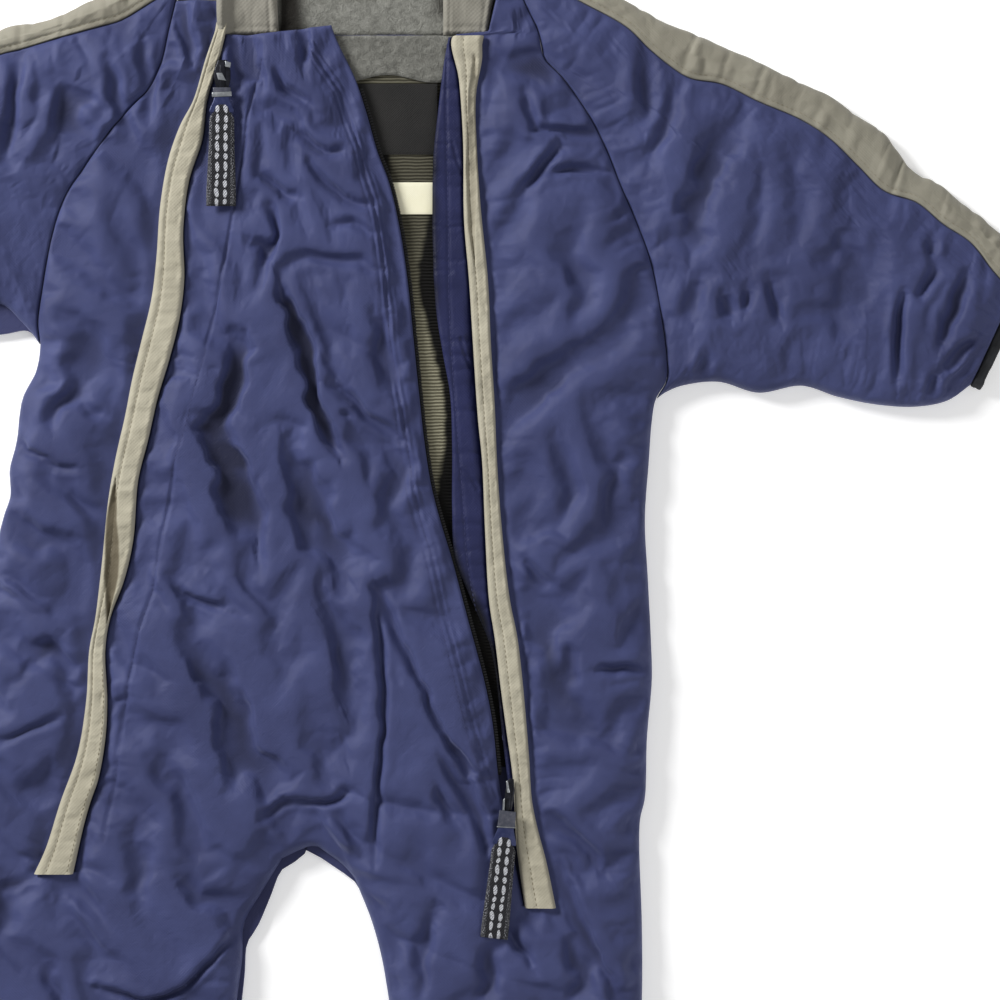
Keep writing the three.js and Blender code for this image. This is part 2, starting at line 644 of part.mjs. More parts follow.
// A stripe's section runs from its front seam over the fold to its back seam, and back along its inner face
function stripe(name, lower, upper) {
  const foldShare = 0.74;
  const slitLow = backTop - 0.1;
  const slitHigh = edgeBottom + 0.1;
  const ring = (a, i) => {
    const b = upper[i];
    const at = (share) => row(a.x + (b.x - a.x) * share, a.y + (b.y - a.y) * share);
    const point = (share, z) => [at(share).x, at(share).y, z];
    const topAt = (share) => frontTop(at(share).x, at(share).y);
    const underAt = (share) => Math.max(topAt(share) - wallThick, slitHigh);
    return [
      point(0, topAt(0)), point(0.3, topAt(0.3)), point(0.6, topAt(0.6)), point(0.85, topAt(0.85)),
      point(1, (edgeTop + edgeBottom) / 2), point(0.93, lowerRound), point(0.85, 0),
      point(backEdgeShare, 0), point(backEdgeShare, slitLow), point(foldShare, slitLow),
      point(foldShare, slitHigh), point(0.35, underAt(0.35)), point(0, underAt(0)),
    ];
  };
  const rings = lower.map(ring);
  const around = rings[0].length;
  const place = rings.flat(2);
  const faces = [];
  for (let s = 0; s < rings.length - 1; s++) {
    for (let k = 0; k < around; k++) {
      const a = s * around + k;
      const b = s * around + ((k + 1) % around);
      faces.push(a, b, b + around, a, b + around, a + around);
    }
  }
  // Each end is closed as a front flank and a back flank that meet at the fold
  const cap = [[0, 1, 12], [1, 11, 12], [1, 2, 11], [2, 10, 11], [2, 3, 10], [3, 4, 10], [4, 9, 10],
    [4, 5, 9], [5, 6, 9], [6, 7, 8], [6, 8, 9]];
  const last = (rings.length - 1) * around;
  for (const [a, b, c] of cap) {
    faces.push(a, c, b);
    faces.push(last + a, last + b, last + c);
  }
  const first = rings[0];
  const next = rings[1];
  const run = next[0][0] - first[0][0];
  if (run > 0) faces.reverse();
  return solid(name, place, faces, stripeGrey);
}

const seamPoints = (levels, line, yBottom, yTop) =>
  sidePoints([...levels.filter((y) => y >= yBottom && y < yTop - 2), yTop], line, 0);
sleeve(
  "left", stripeLowerLeft, stripeUpperLeft, underarmLeftFront, underarmLeft,
  seamPoints(leftLevels, sideLeft, armpitLeft, 306),
  seamPoints(backLeftLevels, sideLeft, armpitLeft, 306),
  cuffLineLeft, -1,
);
sleeve(
  "right", stripeLowerRight, stripeUpperRight, underarmRight, underarmRight,
  seamPoints(rightLevels, sideRight, armpitRight, 317.5),
  seamPoints(backRightLevels, sideRight, armpitRight, 317.5),
  cuffLineRight, 1,
);

// Gathered bands round the sleeve and leg ends, each a flattened ring
function band(name, from, to, outward, depth, height, material) {
  const long = Math.hypot(to.x - from.x, to.y - from.y);
  const wallIn = 3;
  const slit = 0.5;
  const middleHeight = height / 2;
  const outer = new THREE.Shape();
  outer.moveTo(wallIn, 0);
  outer.lineTo(long - wallIn, 0);
  outer.quadraticCurveTo(long, 0, long, middleHeight);
  outer.quadraticCurveTo(long, height, long - wallIn, height);
  outer.lineTo(wallIn, height);
  outer.quadraticCurveTo(0, height, 0, middleHeight);
  outer.quadraticCurveTo(0, 0, wallIn, 0);
  const hole = new THREE.Path();
  hole.moveTo(wallIn, middleHeight - slit);
  hole.lineTo(wallIn, middleHeight + slit);
  hole.lineTo(long - wallIn, middleHeight + slit);
  hole.lineTo(long - wallIn, middleHeight - slit);
  hole.closePath();
  outer.holes.push(hole);
  const geometry = new THREE.ExtrudeGeometry(outer, { depth, bevelEnabled: false, curveSegments: 5 });
  const acrossAxis = new THREE.Vector3((to.x - from.x) / long, (to.y - from.y) / long, 0);
  const outAxis = new THREE.Vector3(outward.x, outward.y, 0);
  const upAxis = new THREE.Vector3(0, 0, 1);
  const basis = new THREE.Matrix4().makeBasis(acrossAxis, upAxis, outAxis);
  basis.setPosition(from.x + outward.x * seamGap, from.y + outward.y * seamGap, 0);
  geometry.applyMatrix4(basis);
  const mesh = new THREE.Mesh(geometry, material);
  mesh.name = name;
  return mesh;
}
const bandHeight = 9;
const square = (a, b) => {
  const long = Math.hypot(b.x - a.x, b.y - a.y);
  return row((b.y - a.y) / long, -(b.x - a.x) / long);
};
const cuffPair = (a, b) => [a, b, square(a, b)];
add(band("cuff_right", ...cuffPair(cuffLineRight[0], cuffLineRight[1]), cuffDepth, bandHeight, black));
add(band("cuff_left", ...cuffPair(cuffLineLeft[1], cuffLineLeft[0]), cuffDepth, bandHeight, black));
const leftLegEnd = cuffPair(row(-184, hemLeft), row(-76.2, hemLeft));
const rightLegEnd = cuffPair(row(33.5, hemRight), row(133.5, hemRight));
add(band("leg_cuff_left", ...leftLegEnd, cuffDepth, bandHeight, black));
add(band("leg_cuff_right", ...rightLegEnd, cuffDepth, bandHeight, black));

// Inside of the back, as far as it shows: knitted lining, fleece yoke, label and size tag
const liningLeft = (y) => Math.min(xAt(centreEdge, y) - 12, y > 200 ? -45 + (283 - y) * 0.2 : 40);
const liningRight = (y) => xAt(facingEdge, y) + 8;
add(wall(
  "back_lining",
  levelGrid(span(-40, 282.8, 18), (y) => between(liningLeft(y), liningRight(y), [0, 0.5, 1])),
  flatAt(liningTop),
  flatAt(liningBottom),
  knit,
));
const yokeWaves = 4;
const yokeWave = 2;
const yokeLeft = -44;
const yokeRight = 50;
const yokeLow = 261.5;
add(wall(
  "neck_yoke",
  [0, 0.3, 1].map((v) =>
    span(yokeLeft, yokeRight, 16).map((x) => {
      const turn = ((x - yokeLeft) / (yokeRight - yokeLeft)) * yokeWaves * Math.PI;
      const lowEdge = yokeLow + yokeWave * Math.sin(turn);
      return row(x, lowEdge + (neckLine - lowEdge) * v);
    })),
  flatAt(labelBottom + yokeThick),
  flatAt(labelBottom),
  fleece,
));

// A flat rectangle of cloth
const patch = (name, x0, x1, y0, y1, z0, z1, material) =>
  wall(name, levelGrid([y0, y1], () => [x0, x1]), flatAt(z1), flatAt(z0), material);
add(patch("label", -24, 39.5, 223.5, 259, labelBottom, labelTop, black));
add(patch("size_tag", 8, 38, 193.5, 209.5, labelBottom, labelTop, cream));

// Stand collar: the back lies open, and its two front ends lie on it
const collarLevels = [neckLine + 1.4, 292, 300, 308, 318, topEdge];
const collarBackLeft = (y) => Math.min(Math.max(xAt(sideLeft, y), -94.5) + 2 * halfGap, -90);
const collarBackRight = (y) => Math.min(xAt(sideRight, y), 88) - 2 * halfGap - Math.max(0, y - 318) * 0.35;
add(wall(
  "collar_back",
  levelGrid(collarLevels, (y) => between(collarBackLeft(y), collarBackRight(y), span(0, 1, 6))),
  flatAt(collarThick),
  flatAt(0),
  fleece,
));
const collarFrontBottom = collarThick + seamGap;
const collarRise = (y) => 1.2 * Math.sin(((y - neckLine) / (topEdge - neckLine)) * Math.PI);
const collarTopFace = (x, y) => collarFrontBottom + collarFrontThick + collarRise(y);
const collarUnder = (x, y) => collarFrontBottom + collarRise(y);
const collarEnd = (name, levels, columns) =>
  wall(name, levelGrid(levels, columns), collarTopFace, collarUnder, stripeGrey);
const leftCollarOuter = [
  row(-89, topEdge), row(-89, 317), row(-81, 309), row(-65.4, 300.5), row(-65.4, 283.8),
];
add(collarEnd(
  "collar_left",
  [283.8, 288, 294, 300.5, 304, 309, 317, 322, topEdge - 0.5],
  (y) => between(xAt(leftCollarOuter, y), -40 - (y - 283.8) * 0.05, span(0, 1, 4)),
));
const rightCollarOuter = [row(72, topEdge), row(72.5, 318), row(66.8, 297), row(64.6, 285)];
add(collarEnd(
  "collar_right",
  [284.9, 288, 294, 300.5, 304, 309, 317, 322, topEdge - 0.5],
  (y) => between(42.5, xAt(rightCollarOuter, y), span(0, 1, 4)),
));

// Zip sliders, pull plates and webbing loops, with heights above the cloth they lie on
const sliderHeight = 1.8;
const plateLow = 2.1;
const plateThick = 1.2;
const webLow = 1.7;
const webThick = 2.2;
const plateStart = 1;
const sliderReach = 2;

// A pull hangs from its slider along a line from the hinge to the webbing's end
function zipPull(side, head, tail, sliderWide, sliderLong, plateLong, webWide, flare, rest) {
  const long = Math.hypot(tail.x - head.x, tail.y - head.y);
  const down = row((tail.x - head.x) / long, (tail.y - head.y) / long);
  const outline = (rows) => rows.map(([across, far]) => row(
    head.x + down.x * far - down.y * across,
    head.y + down.y * far + down.x * across,
  ));
  const sliderHalf = sliderWide / 2;
  add(plate(`zip_slider_${side}`, outline([
    [-sliderHalf * 0.55, -sliderLong], [sliderHalf * 0.55, -sliderLong], [sliderHalf, -sliderLong * 0.6],
    [sliderHalf, -sliderLong * 0.25], [sliderHalf * 0.7, sliderReach], [-sliderHalf * 0.7, sliderReach],
    [-sliderHalf, -sliderLong * 0.25], [-sliderHalf, -sliderLong * 0.6],
  ]), rest, rest + sliderHeight, hardNavy));
  const neckHalf = webWide * 0.28;
  const webHalf = webWide / 2;
  add(plate(`zip_pull_${side}`, outline([
    [-neckHalf, plateStart], [neckHalf, plateStart], [webHalf * 0.62, plateLong * 0.35],
    [webHalf * 0.98, plateLong], [-webHalf * 0.98, plateLong], [-webHalf * 0.62, plateLong * 0.35],
  ]), rest + plateLow, rest + plateLow + plateThick, hardNavy));
  add(plate(`zip_webbing_${side}`, outline([
    [-webHalf * 0.9, plateLong + seamGap], [webHalf * 0.9, plateLong + seamGap],
    [webHalf, long * 0.5], [webHalf * flare, long * 0.88], [webHalf * flare, long],
    [-webHalf * flare, long], [-webHalf * flare, long * 0.88], [-webHalf, long * 0.5],
  ]), rest + webLow, rest + webLow + webThick, black));
}

// The cloth's greatest height under a pull, so that it lies just clear of it
function restHeight(x0, x1, y0, y1) {
  let most = 0;
  for (const x of span(x0, x1, 8)) {
    for (const y of span(y0, y1, 24)) most = Math.max(most, frontTop(x, y));
  }
  return most + seamGap;
}
zipPull("left", row(-67.5, 256.5), row(-68, 196.5), 8, 13, 13.5, 12.5, 1.15,
  restHeight(-76, -60, 196, 270));
zipPull("right", row(75, -104), row(68, -168.5), 4.6, 15, 18, 12, 1.12,
  restHeight(60, 78, -170, -90));

export default group;
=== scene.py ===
import math

import bpy
import numpy as np
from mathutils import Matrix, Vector
from mathutils.bvhtree import BVHTree


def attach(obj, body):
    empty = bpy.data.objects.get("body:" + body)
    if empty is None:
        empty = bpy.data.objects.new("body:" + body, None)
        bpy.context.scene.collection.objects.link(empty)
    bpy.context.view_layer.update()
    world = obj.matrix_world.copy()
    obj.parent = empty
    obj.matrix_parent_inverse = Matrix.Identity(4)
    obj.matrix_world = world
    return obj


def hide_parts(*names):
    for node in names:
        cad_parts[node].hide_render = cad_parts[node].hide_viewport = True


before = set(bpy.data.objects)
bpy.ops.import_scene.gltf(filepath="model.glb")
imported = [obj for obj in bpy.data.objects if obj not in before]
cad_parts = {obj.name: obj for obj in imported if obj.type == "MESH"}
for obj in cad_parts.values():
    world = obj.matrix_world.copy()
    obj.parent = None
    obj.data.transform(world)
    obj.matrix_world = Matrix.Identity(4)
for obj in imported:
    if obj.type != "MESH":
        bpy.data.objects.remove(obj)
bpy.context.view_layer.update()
mm = 0.001

# ---- camera, floor and light
view = {"centre": (0.071, 0.050), "width": 0.5, "height": 1.6, "clothHeight": 0.013, "sensor": 36}
cameraData = bpy.data.cameras.new("photoCamera")
cameraData.sensor_width = view["sensor"]
cameraData.lens = view["sensor"] * (view["height"] - view["clothHeight"]) / view["width"]
camera = bpy.data.objects.new("photoCamera", cameraData)
camera.location = (*view["centre"], view["height"])
bpy.context.scene.collection.objects.link(camera)
bpy.context.scene.camera = camera

studio = {
    "sky": 0.3, "floor": (0.97, 0.97, 0.97), "floorGlow": 0.3,
    "keyLight": {"spot": (-1.68, 1.28, 1.15), "aim": (0.05, 0.05, 0), "size": 0.8, "power": 67.0},
    "fillLight": {"spot": (1.1, -0.6, 1.3), "aim": (0, 0, 0), "size": 1.2, "power": 7.5},
}


def addArea(name, spot, aim, size, power):
    data = bpy.data.lights.new(name, "AREA")
    data.shape = "DISK"
    data.size = size
    data.energy = power
    lamp = bpy.data.objects.new(name, data)
    lamp.location = spot
    lamp.rotation_euler = (Vector(aim) - Vector(spot)).to_track_quat("-Z", "Y").to_euler()
    bpy.context.scene.collection.objects.link(lamp)


for name in ("keyLight", "fillLight"):
    addArea(name, **studio[name])
world = bpy.data.worlds.new("softRoom")
world.use_nodes = True
world.node_tree.nodes["Background"].inputs[0].default_value = (1, 1, 1, 1)
world.node_tree.nodes["Background"].inputs[1].default_value = studio["sky"]
bpy.context.scene.world = world
bpy.context.scene.view_settings.view_transform = "Standard"
print("camera and light are set")


# ---- lines, in millimetres
def runOf(line):
    return np.concatenate([[0], np.cumsum(np.hypot(*np.diff(line, axis=0).T))])


def evenly(line, count):
    far = runOf(line)
    goal = np.linspace(0, far[-1], count)
    return np.column_stack([np.interp(goal, far, line[:, axis]) for axis in (0, 1)])


def smoothLine(rows, count=401):
    points = np.array(rows, float)
    held = np.vstack([2 * points[0] - points[1], points, 2 * points[-1] - points[-2]])
    fine = []
    for i in range(len(points) - 1):
        p0, p1, p2, p3 = held[i:i + 4]
        t1 = max(np.linalg.norm(p1 - p0) ** 0.5, 1e-4)
        t2 = t1 + max(np.linalg.norm(p2 - p1) ** 0.5, 1e-4)
        t3 = t2 + max(np.linalg.norm(p3 - p2) ** 0.5, 1e-4)
        t = np.linspace(t1, t2, 24, endpoint=False)[:, None]
        a1 = (t1 - t) / t1 * p0 + t / t1 * p1
        a2 = (t2 - t) / (t2 - t1) * p1 + (t - t1) / (t2 - t1) * p2
        a3 = (t3 - t) / (t3 - t2) * p2 + (t - t2) / (t3 - t2) * p3
        b1 = (t2 - t) / t2 * a1 + t / t2 * a2
        b2 = (t3 - t) / (t3 - t1) * a2 + (t - t1) / (t3 - t1) * a3
        fine.append((t2 - t) / (t2 - t1) * b1 + (t - t1) / (t2 - t1) * b2)
    return evenly(np.vstack(fine + [points[-1:]]), count)


def xAt(line, y):
    return np.interp(y, line[::-1, 1], line[::-1, 0])


def stretch(line, yTop, yBottom):
    inside = line[(line[:, 1] < yTop) & (line[:, 1] > yBottom)]
    return np.vstack([[xAt(line, yTop), yTop], inside, [xAt(line, yBottom), yBottom]])


def offset(line, distance):
    run = np.gradient(line, axis=0)
    run /= np.maximum(np.hypot(run[:, 0], run[:, 1]), 1e-9)[:, None]
    return line + np.column_stack([-run[:, 1], run[:, 0]]) * distance


def shifted(line, dx, dy=0):
    return line + np.array([dx, dy])


def fromPhoto(px, py):
    return (px - 358) / 2, (600 - py) / 2


def steps(length, spacing, multiple=4):
    return max(1, round(length / spacing / multiple)) * multiple


def lengthOf(line):
    return float(np.hypot(*np.diff(line, axis=0).T).sum())


def smooth(share):
    held = np.clip(share, 0, 1)
    return held * held * (3 - 2 * held)


# How far the runs of two lines are kept apart, and the stride along a long line's points
lineGap, lineStride = 137.0, 5


# Distance to the nearest of several lines, the length run along it, and the side it is on
def nearest(x, y, lines, reach=70):
    best = np.full(x.shape, 1e6)
    run = np.zeros(x.shape)
    side = np.ones(x.shape)
    start = 0.0
    low = (x.min() - reach, y.min() - reach)
    high = (x.max() + reach, y.max() + reach)
    for line in lines:
        stride = lineStride if len(line) > 50 else 1
        spots = line[::stride]
        if (len(line) - 1) % stride:
            spots = np.vstack([spots, line[-1:]])
        for a, b in zip(spots[:-1], spots[1:]):
            d = b - a
            long = max(float(np.hypot(*d)), 1e-6)
            start += long
            if max(a[0], b[0]) < low[0] or min(a[0], b[0]) > high[0]:
                continue
            if max(a[1], b[1]) < low[1] or min(a[1], b[1]) > high[1]:
                continue
            share = np.clip(((x - a[0]) * d[0] + (y - a[1]) * d[1]) / long ** 2, 0, 1)
            ax = x - a[0] - d[0] * share
            ay = y - a[1] - d[1] * share
            away = ax * ax + ay * ay
            closer = away < best
            best[closer] = away[closer]
            run[closer] = start - long + share[closer] * long
            side[closer] = np.sign(d[0] * ay - d[1] * ax)[closer]
        start += lineGap
    return np.sqrt(best), run, side


# Smooth noise from -1 to 1, with a size in millimetres
def noise(x, y, size, seed):
    table = np.random.default_rng(seed).uniform(-1, 1, (64, 64))
    u, v = np.asarray(x) / size, np.asarray(y) / size
    i, j = np.floor(u).astype(int), np.floor(v).astype(int)
    fu, fv = u - i, v - j
    fu = fu ** 3 * (fu * (fu * 6 - 15) + 10)
    fv = fv ** 3 * (fv * (fv * 6 - 15) + 10)
    i0, i1, j0, j1 = i % 64, (i + 1) % 64, j % 64, (j + 1) % 64
    low = table[i0, j0] * (1 - fu) + table[i1, j0] * fu
    high = table[i0, j1] * (1 - fu) + table[i1, j1] * fu
    return low * (1 - fv) + high * fv


# Round backs with sharp valleys between them, from -0.6 to 1.4
def ridges(x, y, size, seed):
    return np.abs(noise(x, y, size, seed)) * 2 - 0.6


# 1 on a line and falling away from it
def bell(away, wide):
    return np.exp(-((away / wide) ** 2))


# Soft mounds with sharper valleys between them, as padded cloth has when it is pushed together
def mounds(x, y, size, seed, turn=0.0, long=1.0):
    c, s = math.cos(turn), math.sin(turn)
    u, v = x * c + y * s, (-x * s + y * c) / long
    u = u + noise(u, v, size * 1.7, seed + 1) * size * 0.7
    v = v + noise(u, v, size * 1.9, seed + 2) * size * 0.7
    return ridges(u, v, size, seed)


# ---- the suit's outline and seam lines, from the neck down or from the neck out
sideLeft = smoothLine([
    (-91.5, 300), (-95, 285), (-99, 268), (-105, 256), (-112, 248.5), (-119, 241), (-129, 228.5),
    (-139, 214), (-146, 203.5), (-150.5, 192.5), (-154, 180), (-158, 157.5), (-160.5, 139),
    (-160, 128.5), (-162, 115), (-169, 101), (-172, 79), (-175.5, 65), (-175, 52.5), (-179, 40),
    (-187, 0), (-193, -60), (-197, -120), (-200, -200), (-194, -265), (-184, -318),
])
sideRight = smoothLine([
    (78, 318), (83, 300), (90, 285), (93.5, 271), (101, 263), (110, 251), (117, 240), (124.5, 225),
    (131, 208.5), (139, 190), (146, 171), (150.5, 150), (154.5, 122.5), (154.5, 110), (149.5, 101),
    (147.5, 90), (146, 70), (144, 40), (145.5, 10), (147, -20), (147.5, -40), (145, -70), (144, -100),
    (141.5, -111), (142.5, -165), (142.5, -200), (139, -265), (133.5, -321),
])
stripeLowerRight = smoothLine([
    (78, 318), (93.5, 310), (111, 300), (134.5, 287), (146, 276), (157, 267), (166, 261.5),
    (182, 258.5), (201, 249.5), (221, 241), (236, 231.5), (251, 217), (263.5, 205), (280, 199),
    (293.5, 188), (307, 179), (318, 165), (328.3, 153.5),
])
stripeUpperRight = smoothLine([
    (81, 327), (108.5, 313.5), (135, 300), (151, 291.5), (165, 285.5), (177, 280.5), (193.5, 273.5),
    (203.5, 269), (225, 258), (237, 253), (251, 242.5), (261, 236.5), (271, 225.5), (279.5, 214),
    (288.5, 210.5), (303.5, 199), (321, 185), (335.5, 169),
])
stripeLowerLeft = smoothLine([
    (-91.5, 307), (-103, 300), (-119, 290.5), (-129, 287.5), (-149, 282), (-169, 276), (-179, 273.5),
    (-212, 261.5), (-245, 243.5), (-276.5, 226), (-305, 212), (-332.3, 201.5),
])
stripeUpperLeft = smoothLine([
    (-93, 320), (-115, 310), (-136.5, 300), (-149, 294), (-159, 290), (-169, 289), (-179, 286.5),
    (-209, 278.5), (-252, 263), (-288.5, 243), (-319, 228), (-336.5, 214),
])
underarmRight = smoothLine([
    (150, 101.5), (155, 104.5), (162.5, 107.5), (181, 109.5), (201, 104), (223, 107.5), (241, 102),
    (261, 98), (281, 97), (296, 100), (307, 107.5),
])
underarmLeft = smoothLine([
    (-160.4, 129), (-166.5, 135), (-179, 133.5), (-209, 131), (-244, 132.5), (-279, 139),
    (-304, 147.5), (-316.5, 154.5),
])
underarmLeftFront = smoothLine([
    (-160.4, 129), (-169, 139), (-179, 148), (-196, 149), (-224, 144), (-254, 141), (-284, 146),
    (-316.5, 154.5),
])
innerLeftFront = smoothLine([
    (-38.6, -130.4), (-49, -147.5), (-57.5, -162.5), (-58.5, -180), (-61, -200), (-68, -260),
    (-76.2, -318),
])
innerRight = smoothLine([
    (-2, -140.3), (1, -147.5), (6, -160), (11, -177.5), (15, -200), (23.5, -260), (33.5, -321),
])
crotch = smoothLine([
    (-38.6, -130), (-29, -125.5), (-25, -124), (-21, -124), (-15.5, -127.5), (-7.5, -133.5),
    (-2, -139.9),
])
backInnerLeft = smoothLine([
    (1, 284), (-26.5, -127), (-30.5, -131), (-38.5, -136), (-44.5, -150), (-51, -165), (-56, -173),
    (-57.5, -190), (-66, -260), (-76.2, -318),
])
backInnerRight = smoothLine([
    (1, 284), (-26.5, -127), (-19, -130), (-10.5, -136), (-3, -141), (1, -147.5), (6, -160),
    (11, -177.5), (15, -200), (23.5, -260), (33.5, -321),
])
leftFlapOuter = smoothLine([
    (-71, 300), (-71, 287.5), (-73, 280), (-76.5, 270), (-82.5, 250), (-89, 237.5), (-95, 220),
    (-99, 197.5), (-101, 170), (-103.5, 150), (-108.5, 129), (-113, 110), (-117, 90), (-121.5, 70),
    (-125, 50), (-128, 20), (-131.5, -9), (-134.5, -25), (-136, -50), (-140.5, -77.5), (-149, -101.5),
    (-156.5, -125), (-162, -137),
])
leftFlapInner = smoothLine([
    (-66, 300), (-66, 286), (-69.5, 270), (-75.5, 250), (-78, 230), (-84.5, 210), (-87.5, 185),
    (-87, 160), (-89.5, 140), (-94.5, 120), (-100.5, 100), (-105, 80), (-110, 60), (-112.5, 30),
    (-117, 10), (-124, -9), (-126.5, -25), (-125.5, -50), (-126.5, -70), (-130, -90), (-134, -101.5),
    (-137.5, -114), (-142.5, -137),
])
rightFlapInner = smoothLine([
    (65, 284.4), (47.5, 282), (50.5, 260), (52.5, 230), (53, 190), (55.5, 160), (57.5, 127.5),
    (60, 90), (62, 70), (63.5, 35), (65.5, 0), (68.5, -20), (71.5, -45), (74.5, -67.5), (77.5, -90),
    (79.5, -125), (83.5, -154),
])
rightFlapOuter = smoothLine([
    (68, 284.4), (63, 282), (62, 270), (59, 252.5), (59.5, 225), (61.5, 195), (65, 160), (66.5, 127.5),
    (68.5, 95), (69.5, 70), (72, 35), (76, 0), (79.5, -17.5), (82, -37.5), (85.5, -77.5), (87, -100),
    (90, -115), (94, -130), (99, -154),
])
facingEdge = smoothLine([
    (45.2, 282), (43, 270), (40, 245), (37.5, 220), (37.5, 170), (39, 145), (42.5, 122.5), (46, 102.5),
    (47, 75), (47, 45), (48.5, 20), (54.5, 5), (61, -10), (66, -22.5), (69, -38), (72, -67), (75, -92),
])
centreEdge = smoothLine([
    (-12, 283.2), (-9, 276.5), (-1.5, 261), (3.5, 246), (9.5, 225), (15.5, 209), (21, 185),
    (25, 157.5), (27.5, 132.5), (30.5, 102.5), (33, 80), (36.5, 57.5), (41, 40), (47, 20), (55, -10),
    (63, -40), (67, -60), (71, -95), (77, -125), (83, -153.9),
])
armpits = {"left": 128.5, "right": 101}
cuffRight = np.array([(307, 107.5), (335.5, 169)], float)
cuffLeft = np.array([(-316.5, 154.5), (-336.5, 214)], float)
outlines = [
    stretch(sideLeft, armpits["left"], -318), stretch(sideRight, armpits["right"], -321), underarmRight,
    underarmLeftFront, innerLeftFront, innerRight, crotch, stripeUpperRight, stripeUpperLeft,
]
innerSeams = [
    stretch(sideLeft, 300, armpits["left"]), stretch(sideRight, 318, armpits["right"]), stripeLowerRight,
    stripeLowerLeft, leftFlapOuter, leftFlapInner, rightFlapInner, rightFlapOuter, centreEdge,
]
gatherLines = [
    cuffRight, cuffLeft, np.array([(-184, -318), (-76.2, -318)]), np.array([(33.5, -321), (133.5, -321)]),
]

